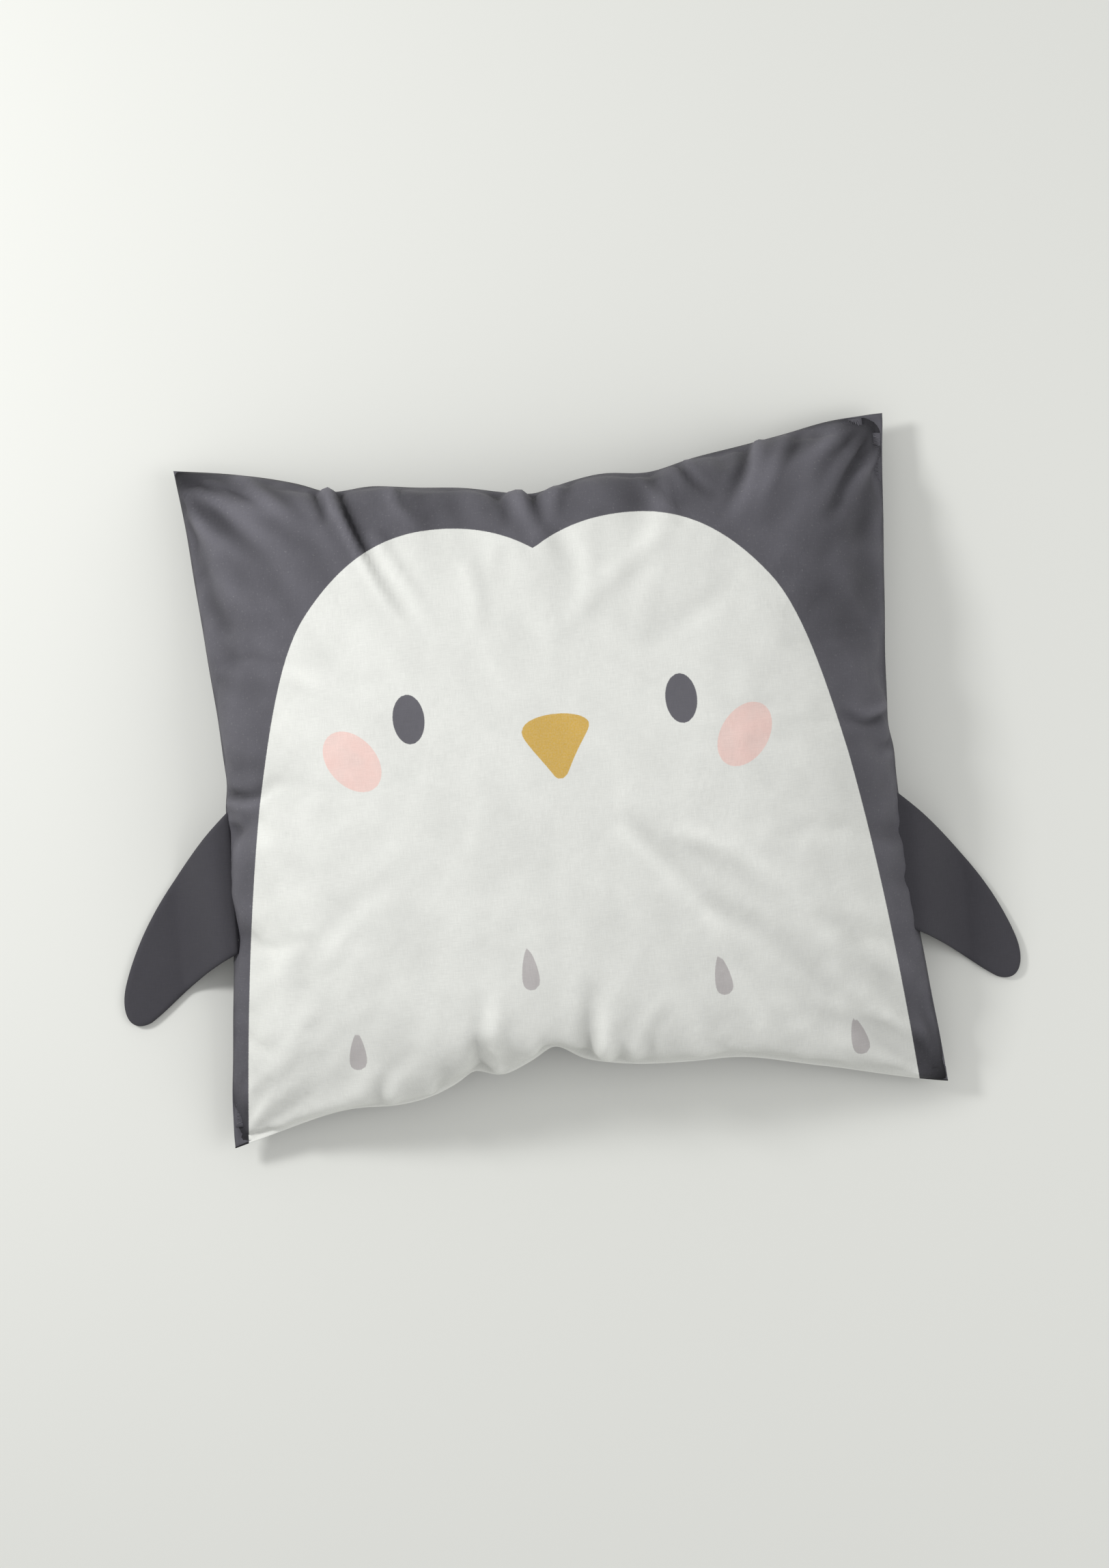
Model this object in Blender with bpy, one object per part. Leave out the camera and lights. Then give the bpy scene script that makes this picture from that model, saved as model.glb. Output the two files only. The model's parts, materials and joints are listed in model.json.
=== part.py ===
"""A penguin scatter cushion: a printed cotton case over a fibre-filled insert, with two padded flippers.

The cushion lies on its back. X runs across it, Y runs towards its head and Z runs up, and the origin is
the middle of the flat face that it rests on. Lengths are in metres, and the crown is the printed side.
"""

import math

import bmesh
import bpy
from mathutils import Euler, Vector

# The filled case, from its middle to its corners, and how far its edges pull in between them.
HALF_WIDTH = 0.312
HALF_HEIGHT = 0.294
SIDE_WAIST = 0.023
TOP_WAIST = 0.046
MOUTH_WAIST = 0.054
WAIST_POWER = 1.6

# Heights above the face that it rests on.
CROWN_HEIGHT = 0.144
SEAM_HEIGHT = 0.042
CORNER_HEIGHT = 0.026
CROWN_POWER = 2.5
CROWN_FULLNESS = 0.6
FLAT_SHARE = 0.86
TURN_UP_POWER = 1.6

# Cloth and the clearance between neighbours.
CASE_CLOTH = 0.0012
TICKING = 0.0010
CLEARANCE = 0.0004
RIM_GAP = 0.0002
PRINT_SKIN = 0.00035

# The insert, measured inwards from the case.
INSERT_INSET = 0.016
INSERT_DROP = 0.0030
INSERT_REST = 0.0044
FILL_INSET = 0.028
FILL_DROP = 0.0046
FILL_REST = 0.0060

# The mouth at the lower edge: a hem on the back panel, and a flap that folds in under the insert.
HEM_END = -0.88
HEM_HALF_SPAN = 0.97
FLAP_END = -0.36
FLAP_INSET = 0.0134
FLAP_REST = 0.0030
FLAP_CLOTH = 0.0010

# Seams: allowances that lie inside the edge, and the thread between them and the edge.
ALLOWANCE_NEAR = 0.0032
ALLOWANCE_FAR = 0.0120
ALLOWANCE_HALF = 0.0005
THREAD_NEAR = 0.0019
THREAD_FAR = 0.0027
THREAD_HALF = 0.0003

# Flippers: two cloths over thin wadding, closed by a turned-in edge.
FLIPPER_CLOTH = 0.0008
WADDING = 0.0030
FLIPPER_GAP = 0.0003
FLIPPER_EDGE_WIDTH = 0.0028
HINGE_X = 0.2985
HINGE_Z = 0.040
ROOT_CLEARANCE = 0.0012
DROOP_LENGTH = 0.048
RIGHT_FLIPPER_SHIFT = Vector((-0.0100, -0.0265))

GRID_CELLS = 16
GRID_CROWDING = 1.6
CURVE_STEPS = 7
ELLIPSE_SIDES = 20
FACE_AXIS_X = -0.005
CUTTER_TOP = 0.20

CHARCOAL = (0.115, 0.112, 0.130)
OFF_WHITE = (0.73, 0.735, 0.70)
TICKING_WHITE = (0.80, 0.80, 0.79)
BEAK_YELLOW = (0.59, 0.38, 0.11)
EYE_GREY = (0.135, 0.130, 0.150)
CHEEK_PINK = (0.80, 0.60, 0.56)
MARK_GREY = (0.46, 0.44, 0.43)
FLIPPER_GREY = (0.063, 0.061, 0.071)
THREAD_GREY = (0.20, 0.20, 0.22)
LABEL_WHITE = (0.82, 0.82, 0.80)
FIBRE_WHITE = (0.85, 0.85, 0.85)


def clear_scene():
    for old in list(bpy.data.objects):
        bpy.data.objects.remove(old)


def make_material(name, colour, roughness):
    material = bpy.data.materials.new(name)
    material.use_nodes = True
    shader = material.node_tree.nodes["Principled BSDF"]
    shader.inputs["Base Color"].default_value = (*colour, 1.0)
    shader.inputs["Roughness"].default_value = roughness
    shader.inputs["Metallic"].default_value = 0.0
    material.diffuse_color = (*colour, 1.0)
    return material


def add_object(name, mesh, colour, roughness=0.9, parent=None):
    """Puts a mesh in the scene. A piece with a parent has its mesh written from that parent's place."""
    piece = bpy.data.objects.new(name, mesh)
    mesh.materials.append(make_material(name, colour, roughness))
    bpy.context.scene.collection.objects.link(piece)
    piece.parent = parent
    return piece


def hide_guide(guide):
    guide.hide_render = True
    guide.display_type = "WIRE"


def solid_between(name, faces, low, high):
    """Closes the space between two copies of one sheet, which are joined by a wall along its border."""
    directed = {(face[i - 1], face[i]) for face in faces for i in range(len(face))}
    border = [(a, b) for a, b in directed if (b, a) not in directed]
    count = len(low)
    lower = [tuple(reversed(face)) for face in faces]
    upper = [tuple(i + count for i in face) for face in faces]
    walls = [(a, b, b + count, a + count) for a, b in sorted(border)]
    mesh = bpy.data.meshes.new(name)
    mesh.from_pydata([tuple(p) for p in low + high], [], lower + upper + walls)
    shape = bmesh.new()
    shape.from_mesh(mesh)
    if shape.calc_volume(signed=True) < 0:
        bmesh.ops.reverse_faces(shape, faces=shape.faces)
    shape.to_mesh(mesh)
    shape.free()
    return mesh


# ---- The cushion's form, over a square of u across and v up, each from -1 to 1 ----


def half_width_at(v, inset=0.0):
    return HALF_WIDTH - inset - SIDE_WAIST * (1.0 - abs(v) ** WAIST_POWER)


def half_height_at(u, v, inset=0.0):
    waist = TOP_WAIST if v > 0 else MOUTH_WAIST
    return HALF_HEIGHT - inset - waist * (1.0 - abs(u) ** WAIST_POWER)


def seam_height(u, v):
    return CORNER_HEIGHT + (SEAM_HEIGHT - CORNER_HEIGHT) * (1.0 - (u * v) ** 2)


def bulge(t):
    return max(0.0, 1.0 - abs(t) ** CROWN_POWER) ** CROWN_FULLNESS


def crown_point(u, v, inset, drop):
    """A point of the upper side, with the whole form made smaller by inset and lower by drop."""
    rise = (CROWN_HEIGHT - drop - SEAM_HEIGHT) * bulge(u) * bulge(v)
    z = seam_height(u, v) + RIM_GAP + rise
    return Vector((u * half_width_at(v, inset), v * half_height_at(u, v, inset), z))


def back_point(u, v, inset, rest):
    """A point of the lower side, which is flat at the height rest and turns up to the seam at its edge."""
    reach = max(abs(u), abs(v))
    turn = max(0.0, (reach - FLAT_SHARE) / (1.0 - FLAT_SHARE)) ** TURN_UP_POWER
    z = rest + (seam_height(u, v) - RIM_GAP - rest) * turn
    return Vector((u * half_width_at(v, inset), v * half_height_at(u, v, inset), z))


def crowded_values():
    """Values from -1 to 1 that crowd towards both ends, where the form turns most."""
    values = []
    for i in range(GRID_CELLS + 1):
        t = 2.0 * i / GRID_CELLS - 1.0
        values.append(math.copysign(1.0 - (1.0 - abs(t)) ** GRID_CROWDING, t))
    return values


def shell(name, top, bottom, u_values=None, v_values=None):
    """A closed solid between two functions of (u, v). Each cell is split towards its nearest corner."""
    across = u_values or crowded_values()
    along = v_values or crowded_values()
    columns = len(along)
    faces = []
    for i in range(len(across) - 1):
        for j in range(columns - 1):
            a = i * columns + j
            b = a + columns
            if (across[i] + across[i + 1]) * (along[j] + along[j + 1]) > 0:
                faces += [(a, b, b + 1), (a, b + 1, a + 1)]
            else:
                faces += [(a, b, a + 1), (b, b + 1, a + 1)]
    low = [bottom(u, v) for u in across for v in along]
    high = [top(u, v) for u in across for v in along]
    return solid_between(name, faces, low, high)


def values_between(start, end):
    """The grid's own values from start to end, with the two ends themselves."""
    inner = [t for t in crowded_values() if start < t < end]
    return [start, *inner, end]


def grid_lines(start, end):
    """The grid's own values from start to end, so that a partial layer is faceted like its neighbours."""
    return [t for t in crowded_values() if start <= t <= end]


# ---- The case ----


def add_case_panels():
    front = shell(
        "case_front_panel",
        lambda u, v: crown_point(u, v, 0.0, 0.0),
        lambda u, v: crown_point(u, v, CASE_CLOTH, CASE_CLOTH),
    )
    add_object("case_front_panel", front, OFF_WHITE)
    back = shell(
        "case_back_panel",
        lambda u, v: back_point(u, v, CASE_CLOTH, CASE_CLOTH),
        lambda u, v: back_point(u, v, 0.0, 0.0),
    )
    add_object("case_back_panel", back, CHARCOAL)


def add_mouth():
    """The hem of the back panel at the mouth, and the flap that closes the mouth from inside."""
    hem_low = CASE_CLOTH + CLEARANCE
    hem_high = hem_low + FLAP_CLOTH
    hem = shell(
        "mouth_hem",
        lambda u, v: back_point(u, v, hem_high, hem_high),
        lambda u, v: back_point(u, v, hem_low, hem_low),
        grid_lines(-HEM_HALF_SPAN, HEM_HALF_SPAN),
        grid_lines(-1.0, HEM_END),
    )
    add_object("mouth_hem", hem, CHARCOAL)
    flap = shell(
        "tuck_in_flap",
        lambda u, v: back_point(u, v, FLAP_INSET + FLAP_CLOTH, FLAP_REST + FLAP_CLOTH),
        lambda u, v: back_point(u, v, FLAP_INSET, FLAP_REST),
        None,
        grid_lines(-1.0, FLAP_END),
    )
    add_object("tuck_in_flap", flap, OFF_WHITE)


def edge_strip(name, side, start, end, near, far, half, lift=0.0):
    """A flat strip inside one edge, from near to far inwards of it, at the height of the seam."""
    faces = []
    low = []
    high = []
    ring = values_between(start, end)
    for t in ring:
        u, v = {"left": (-1.0, t), "right": (1.0, t), "top": (t, 1.0), "bottom": (t, -1.0)}[side]
        for inset in (near, far):
            x = u * half_width_at(v, inset)
            y = v * half_height_at(u, v, inset)
            middle = seam_height(u, v) + lift
            low.append(Vector((x, y, middle - half)))
            high.append(Vector((x, y, middle + half)))
    for i in range(len(ring) - 1):
        a = 2 * i
        faces.append((a, a + 1, a + 3))
        faces.append((a, a + 3, a + 2))
    return solid_between(name, faces, low, high)


def add_case_seams():
    """The allowances turned inside at three edges, with the line of thread that holds each."""
    for side in ("left", "right", "top"):
        reach = 0.95 if side == "top" else 0.94
        start = -0.95
        name = f"seam_allowance_{side}"
        strip = edge_strip(
            name, side, start, reach, ALLOWANCE_NEAR, ALLOWANCE_FAR, ALLOWANCE_HALF
        )
        add_object(name, strip, CHARCOAL)
        name = f"seam_thread_{side}"
        thread = edge_strip(
            name, side, -0.88, 0.88, THREAD_NEAR, THREAD_FAR, THREAD_HALF
        )
        add_object(name, thread, THREAD_GREY, 0.6)


def add_care_label():
    """A blank woven label, caught in the left seam just inside the mouth."""
    strip = edge_strip("care_label", "left", -0.86, -0.74, 0.0045, 0.0125, 0.0003, 0.0013)
    add_object("care_label", strip, LABEL_WHITE, 0.7)


# ---- The insert ----


def add_insert():
    front = shell(
        "insert_front_ticking",
        lambda u, v: crown_point(u, v, INSERT_INSET, INSERT_DROP),
        lambda u, v: crown_point(u, v, INSERT_INSET + TICKING, INSERT_DROP + TICKING),
    )
    add_object("insert_front_ticking", front, TICKING_WHITE)
    back = shell(
        "insert_back_ticking",
        lambda u, v: back_point(u, v, INSERT_INSET + TICKING, INSERT_REST + TICKING),
        lambda u, v: back_point(u, v, INSERT_INSET, INSERT_REST),
    )
    add_object("insert_back_ticking", back, TICKING_WHITE)
    for side in ("left", "right", "top", "bottom"):
        name = f"insert_seam_{side}"
        near = INSERT_INSET + TICKING + 0.0022
        far = FILL_INSET - 0.0012
        strip = edge_strip(name, side, -0.86, 0.86, near, far, ALLOWANCE_HALF)
        add_object(name, strip, TICKING_WHITE)
    fill = shell(
        "insert_fill",
        lambda u, v: crown_point(u, v, FILL_INSET, FILL_DROP),
        lambda u, v: back_point(u, v, FILL_INSET, FILL_REST),
    )
    add_object("insert_fill", fill, FIBRE_WHITE, 1.0)


# ---- The print: skins of ink on the front panel, cut from one shell that lies over it ----


def curve_points(start, first_pull, second_pull, end):
    """Points along a cubic curve, without its last."""
    points = []
    for i in range(CURVE_STEPS):
        t = i / CURVE_STEPS
        s = 1.0 - t
        points.append(
            start * s**3
            + first_pull * 3.0 * s * s * t
            + second_pull * 3.0 * s * t * t
            + end * t**3
        )
    return points


def outline_through(*stretches):
    """One closed outline from stretches of four control points each, in centimetres."""
    outline = []
    for stretch in stretches:
        outline += curve_points(*[Vector(p) / 100.0 for p in stretch])
    return outline


def face_outline():
    """The pale face: two lobes that meet in a cleft, and sides that widen down to the mouth."""
    half = outline_through(
        ((0, 20.0), (3.0, 22.0), (6.0, 22.4), (8.5, 22.4)),
        ((8.5, 22.4), (14.0, 22.4), (17.5, 19.4), (20.2, 16.0)),
        ((20.2, 16.0), (22.8, 12.8), (24.3, 6.0), (25.6, 0)),
        ((25.6, 0), (27.3, -9.0), (28.6, -20.0), (29.5, -32.0)),
    )
    half.append(Vector((0.295, -0.32)))
    mirrored = [Vector((-p.x, p.y)) for p in reversed(half[1:])]
    axis = Vector((FACE_AXIS_X, 0))
    return [p + axis for p in half + mirrored]


def beak_outline():
    return outline_through(
        ((-2.9, 4.3), (-2.6, 5.9), (2.6, 5.9), (2.95, 4.5)),
        ((2.95, 4.5), (2.95, 3.9), (2.0, 3.0), (0.75, 0.35)),
        ((0.75, 0.35), (0.45, -0.25), (-0.25, -0.25), (-0.5, 0.25)),
        ((-0.5, 0.25), (-1.5, 1.8), (-3.1, 3.6), (-2.9, 4.3)),
    )


def mark_outline():
    """A feather mark: a drop with its point up."""
    return outline_through(
        ((0, 1.85), (0.25, 1.0), (0.8, 0), (0.74, -0.85)),
        ((0.74, -0.85), (0.65, -1.65), (-0.65, -1.65), (-0.74, -0.85)),
        ((-0.74, -0.85), (-0.8, 0), (-0.25, 1.0), (0, 1.85)),
    )


def ellipse_outline(half_across, half_along):
    points = []
    for i in range(ELLIPSE_SIDES):
        angle = 2.0 * math.pi * i / ELLIPSE_SIDES
        points.append(Vector((half_across * math.cos(angle), half_along * math.sin(angle))))
    return points


def placed(outline, x, y, turn_deg=0.0):
    """An outline turned and put at (x, y) of the cushion."""
    turned = Euler((0.0, 0.0, math.radians(turn_deg))).to_matrix()
    centre = Vector((x, y, 0.0))
    return [(centre + turned @ p.to_3d()).to_2d() for p in outline]


def prism(name, outline):
    """A cutter: the outline drawn upwards through the crown."""
    faces = [tuple(range(len(outline)))]
    low = [Vector((p.x, p.y, -0.02)) for p in outline]
    high = [Vector((p.x, p.y, CUTTER_TOP)) for p in outline]
    cutter = add_object(name, solid_between(name, faces, low, high), OFF_WHITE)
    hide_guide(cutter)
    return cutter


def add_print(name, skin, outline, colour, operation="INTERSECT"):
    """One printed area: the skin over the front panel, cut to the outline or with the outline cut away."""
    piece = add_object(name, skin.copy(), colour)
    piece.data.materials.clear()
    piece.data.materials.append(make_material(name, colour, 0.9))
    cut = piece.modifiers.new("outline", "BOOLEAN")
    cut.operation = operation
    cut.solver = "EXACT"
    cut.object = prism(f"cutter_{name}", outline)


def add_prints():
    near = -PRINT_SKIN
    far = -2.0 * PRINT_SKIN
    skin = shell(
        "print_skin",
        lambda u, v: crown_point(u, v, far, far),
        lambda u, v: crown_point(u, v, near, near),
    )
    add_print("print_surround", skin, face_outline(), CHARCOAL, "DIFFERENCE")
    eye = ellipse_outline(0.0138, 0.0217)
    add_print("print_eye_left", skin, placed(eye, -0.126, 0.062, 2.0), EYE_GREY)
    add_print("print_eye_right", skin, placed(eye, 0.111, 0.059, 2.0), EYE_GREY)
    cheek = ellipse_outline(0.0207, 0.0303)
    add_print("print_cheek_left", skin, placed(cheek, -0.178, 0.030, 37.5), CHEEK_PINK)
    add_print("print_cheek_right", skin, placed(cheek, 0.163, 0.023, -36.7), CHEEK_PINK)
    add_print("print_beak", skin, beak_outline(), BEAK_YELLOW)
    marks = ((-0.196, -0.222, -2.0), (-0.041, -0.165, 2.0), (0.125, -0.185, 6.0), (0.238, -0.248, 10.0))
    for number, (x, y, turn) in enumerate(marks, start=1):
        add_print(f"print_mark_{number}", skin, placed(mark_outline(), x, y, turn), MARK_GREY)


# ---- The flippers ----


def flipper_edge():
    """The free edge of the left flipper, from its upper root round the tip to its lower root, mirrored to +X."""
    edge = outline_through(
        ((28.6, 0.0), (33.6, -4.3), (37.6, -9.0), (39.5, -14.6)),
        ((39.5, -14.6), (40.3, -17.0), (39.6, -19.0), (37.6, -18.15)),
        ((37.6, -18.15), (35.5, -16.9), (33.5, -14.4), (29.0, -12.6)),
    )
    edge.append(Vector((0.290, -0.126)))
    return edge


def root_x(y):
    """Where a flipper starts: just outside the case's side edge."""
    return half_width_at(y / HALF_HEIGHT) + ROOT_CLEARANCE


def flipper_outline(shift):
    """The flipper's outline, closed along the case's side edge."""
    free = [p + shift for p in flipper_edge()]
    free = [p for p in free if p.x > root_x(p.y) + 0.002]
    top = Vector((root_x(free[0].y + 0.004), free[0].y + 0.004))
    bottom = Vector((root_x(free[-1].y + 0.001), free[-1].y + 0.001))
    root = []
    for i in range(6):
        y = bottom.y + (top.y - bottom.y) * i / 6
        root.append(Vector((root_x(y), y)))
    return [top, *free, *root]


def inset_outline(outline, distance):
    """The same outline moved inwards. The outline runs clockwise, so inwards is to its right."""
    moved = []
    count = len(outline)
    for i in range(count):
        before = (outline[i] - outline[i - 1]).normalized()
        after = (outline[(i + 1) % count] - outline[i]).normalized()
        along = before + after
        along.normalize()
        inward = Vector((along.y, -along.x))
        spread = max(0.5, inward.dot(Vector((before.y, -before.x))))
        moved.append(outline[i] + inward * (distance / spread))
    return moved


def droop_stations():
    """Stations outwards from the root, each with its height and the direction across the cloth."""
    stack = 2.0 * (FLIPPER_CLOTH + FLIPPER_GAP) + WADDING
    low = stack / 2.0 + RIM_GAP
    start = half_width_at(0.0)
    distances = [0.0, 0.006, 0.012, 0.018, 0.024, 0.031, 0.039, DROOP_LENGTH, 0.13]
    heights = []
    for distance in distances:
        share = min(1.0, distance / DROOP_LENGTH)
        fall = share * share * (3.0 - 2.0 * share)
        heights.append(HINGE_Z + (low - HINGE_Z) * fall)
    stations = []
    last = len(distances) - 1
    for i, distance in enumerate(distances):
        before = max(i - 1, 0)
        after = min(i + 1, last)
        run = distances[after] - distances[before]
        slope = (heights[after] - heights[before]) / run
        across = Vector((-slope, 1.0)).normalized()
        if i >= last - 1:
            across = Vector((0.0, 1.0))
        stations.append((start + distance, heights[i], across))
    return stations


def drooped(point, offset, stations):
    """A point of the flat flipper, laid on the droop and raised by offset across the cloth."""
    for (x0, z0, n0), (x1, z1, n1) in zip(stations, stations[1:]):
        if point.x <= x1 + 1e-7:
            share = (point.x - x0) / (x1 - x0)
            a = Vector((x0, z0)) + n0 * offset
            b = Vector((x1, z1)) + n1 * offset
            place = a.lerp(b, share)
            return Vector((place.x, point.y, place.y))
    raise ValueError("a point of the flipper lies past its last station")


def flat_sheet(loops, stations):
    """The sheet inside one loop, or between two loops of equal length, cut at every station."""
    sheet = bmesh.new()
    rings = [[sheet.verts.new((p.x, p.y, 0.0)) for p in loop] for loop in loops]
    if len(rings) == 1:
        sheet.faces.new(rings[0])
    else:
        outer, inner = rings
        for i in range(len(outer)):
            sheet.faces.new((outer[i - 1], outer[i], inner[i], inner[i - 1]))
    for x, _, _ in stations:
        geometry = sheet.verts[:] + sheet.edges[:] + sheet.faces[:]
        bmesh.ops.bisect_plane(sheet, geom=geometry, plane_co=(x, 0, 0), plane_no=(1, 0, 0), dist=1e-6)
    bmesh.ops.triangulate(sheet, faces=sheet.faces)
    sheet.verts.index_update()
    points = [v.co.copy() for v in sheet.verts]
    faces = [tuple(v.index for v in face.verts) for face in sheet.faces]
    sheet.free()
    return points, faces


def flipper_layer(name, loops, low, high, sign, hinge):
    """One layer of a flipper between two offsets, with its mesh written from its hinge."""
    stations = droop_stations()
    points, faces = flat_sheet(loops, stations)
    lower = []
    upper = []
    for point in points:
        for offset, side in ((low, lower), (high, upper)):
            place = drooped(point, offset, stations)
            side.append(Vector((sign * place.x, place.y, place.z)) - hinge.location)
    return solid_between(name, faces, lower, upper)


def add_flipper(side, sign, shift):
    hinge = bpy.data.objects.new(f"hinge_{side}", None)
    bpy.context.scene.collection.objects.link(hinge)
    outline = flipper_outline(shift)
    middle_y = (outline[0].y + outline[-6].y) / 2.0
    hinge.location = (sign * HINGE_X, middle_y, HINGE_Z)
    half_pad = WADDING / 2.0
    cloth_low = half_pad + FLIPPER_GAP
    cloth_high = cloth_low + FLIPPER_CLOTH
    pad = inset_outline(outline, FLIPPER_EDGE_WIDTH + 0.0008)
    ring_inner = inset_outline(outline, FLIPPER_EDGE_WIDTH)
    layers = (
        ("front_cloth", [outline], cloth_low, cloth_high, FLIPPER_GREY),
        ("wadding", [pad], -half_pad, half_pad, FIBRE_WHITE),
        ("edge_seam", [outline, ring_inner], -half_pad, half_pad, THREAD_GREY),
        ("back_cloth", [outline], -cloth_high, -cloth_low, FLIPPER_GREY),
    )
    for kind, loops, low, high, colour in layers:
        name = f"flipper_{side}_{kind}"
        mesh = flipper_layer(name, loops, low, high, sign, hinge)
        add_object(name, mesh, colour, 0.9, hinge)


def add_flippers():
    add_flipper("left", -1.0, Vector((0.0, 0.0)))
    add_flipper("right", 1.0, RIGHT_FLIPPER_SHIFT)


def main():
    clear_scene()
    add_case_panels()
    add_mouth()
    add_case_seams()
    add_care_label()
    add_insert()
    add_prints()
    add_flippers()


main()
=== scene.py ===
"""The looks of the penguin cushion: a printed cotton case over its insert, on its back, with two flippers.

The case is two cut panels joined at their edges. A cloth simulation blows them up while their seams are drawn
to the outline of the full cushion. X runs across, Y towards the head, Z up. Lengths are in metres unless a
name ends in _cm or _mm.
"""

import json
import math

import bmesh
import bpy
import numpy as np
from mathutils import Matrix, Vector, noise

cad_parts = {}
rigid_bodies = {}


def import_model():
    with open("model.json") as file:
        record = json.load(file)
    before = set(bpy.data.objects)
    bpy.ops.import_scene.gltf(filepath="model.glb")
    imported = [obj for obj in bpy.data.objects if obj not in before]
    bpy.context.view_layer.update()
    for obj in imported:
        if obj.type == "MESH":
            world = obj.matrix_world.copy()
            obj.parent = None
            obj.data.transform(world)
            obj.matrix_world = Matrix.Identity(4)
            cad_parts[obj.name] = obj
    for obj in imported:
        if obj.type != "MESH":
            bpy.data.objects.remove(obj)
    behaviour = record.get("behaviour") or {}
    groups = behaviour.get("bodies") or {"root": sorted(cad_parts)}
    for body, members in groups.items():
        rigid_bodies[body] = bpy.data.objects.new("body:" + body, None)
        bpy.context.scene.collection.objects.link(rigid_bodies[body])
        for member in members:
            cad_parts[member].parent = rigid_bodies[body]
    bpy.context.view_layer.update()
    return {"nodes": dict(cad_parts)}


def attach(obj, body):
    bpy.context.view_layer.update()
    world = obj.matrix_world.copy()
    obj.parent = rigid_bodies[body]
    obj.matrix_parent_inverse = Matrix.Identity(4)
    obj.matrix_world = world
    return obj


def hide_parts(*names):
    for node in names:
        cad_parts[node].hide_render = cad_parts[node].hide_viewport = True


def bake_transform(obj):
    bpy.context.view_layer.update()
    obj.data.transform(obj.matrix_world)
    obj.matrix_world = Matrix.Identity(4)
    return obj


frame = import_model()

# The case as it was cut, the cells along each panel in the simulation, and the seam's height when it is full.
CASE_WIDTH = 0.63
CASE_LENGTH = 0.60
FULL_CELLS = 84
CELLS = FULL_CELLS
SEAM_HEIGHT = 0.042
CORNER_HEIGHT = 0.026

# How far above the cushion the eye is when the printed outlines look as they were drawn.
EYE_HEIGHT = 3.25

# The simulation.
FRAMES = 60
DRAW_IN_FRAMES = 25
PRESSURE = 22.0
SPARE_CLOTH = 0.045
SPARE_CLOTH_BEHIND = 0.005
CLOTH_THICKNESS = 0.0007

UP = np.array([0.0, 0.0, 1.0])

# The outline of the filled case, seen from above: corners, then the places where an edge changes direction.
TOP_EDGE_CM = [
    (-31.1, 29.7), (-26, 28.9), (-22, 28.0), (-20, 27.4), (-18, 26.6), (-14, 26.7), (-10, 26.2), (-6, 25.8),
    (-2, 25.0), (0, 24.75), (2, 25.25), (6, 25.95), (10, 25.7), (14, 26.6), (18, 27.25), (22, 27.95),
    (26, 28.75), (30.9, 29.1),
]
MOUTH_EDGE_CM = [
    (-31.1, -29.5), (-29.4, -29.0), (-20.4, -26.9), (-16.4, -26.9), (-13.6, -26.4), (-11.2, -25.4),
    (-9.6, -24.5), (-7.6, -25.1), (-4.7, -24.1), (-2.5, -23.0), (-0.2, -24.2), (3.3, -25.0), (9, -25.4),
    (13.2, -25.4), (20.1, -26.8), (29.6, -29.0), (31.3, -29.3),
]
SIDE_EDGE_CM = [
    (30.9, -25), (30.55, -22), (30.15, -18), (29.7, -14), (29.3, -7), (29.1, -2), (29.1, 0), (28.8, 2),
    (28.9, 4), (29.1, 8), (29.45, 12), (29.75, 16), (30.1, 20), (30.4, 24),
]


# ---- Small helpers ----


def deselect_all():
    for other in bpy.context.view_layer.objects:
        other.select_set(False)


def make_active(piece):
    deselect_all()
    piece.select_set(True)
    bpy.context.view_layer.objects.active = piece


def apply_modifiers(piece):
    make_active(piece)
    for modifier in list(piece.modifiers):
        bpy.ops.object.modifier_apply(modifier=modifier.name)


def link(name, mesh):
    piece = bpy.data.objects.new(name, mesh)
    bpy.context.scene.collection.objects.link(piece)
    return piece


def dress(piece, material, slot, *nodes):
    """Gives a piece its material, and lets it ride on the cushion in place of its plain nodes. The slot is
    not used.
    """
    piece.data.materials.append(material)
    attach(piece, "cushion")
    if nodes:
        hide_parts(*nodes)
    return piece


def unit(vectors):
    return vectors / np.maximum(np.linalg.norm(vectors, axis=-1, keepdims=True), 1e-9)


def reach_along(line):
    """How far along a line each of its points is."""
    return np.concatenate([[0.0], np.cumsum(np.linalg.norm(np.diff(line, axis=0), axis=1))])


def grid_faces(rows, columns, start=0, flip=False):
    faces = []
    for i in range(rows - 1):
        for j in range(columns - 1):
            a = start + i * columns + j
            face = (a, a + columns, a + columns + 1, a + 1)
            faces.append(face[::-1] if flip else face)
    return faces


def sheet_object(name, grid, flat=None, flip=False, thickness=0.0):
    """A sheet of cloth from a grid of points. flat is each point's place on the cut cloth, for the weave."""
    rows, columns = grid.shape[:2]
    mesh = bpy.data.meshes.new(name)
    mesh.from_pydata(grid.reshape(-1, 3).tolist(), [], grid_faces(rows, columns, 0, flip))
    if flat is None:
        flat = grid[..., :2]
    add_cloth_map(mesh, flat.reshape(-1, 2))
    mesh.shade_smooth()
    piece = link(name, mesh)
    fine = piece.modifiers.new("fine", "SUBSURF")
    fine.levels = fine.render_levels = 1
    fine.boundary_smooth = "PRESERVE_CORNERS"
    apply_modifiers(piece)
    if thickness:
        thicken(piece, thickness)
    return piece


def thicken(piece, thickness, offset=-1.0):
    wall = piece.modifiers.new("wall", "SOLIDIFY")
    wall.thickness = thickness
    wall.offset = offset
    wall.use_even_offset = False
    apply_modifiers(piece)


def corner_points(mesh):
    """The index of the point at each corner of each face."""
    points = np.zeros(len(mesh.loops), np.int32)
    mesh.loops.foreach_get("vertex_index", points)
    return points


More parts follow.
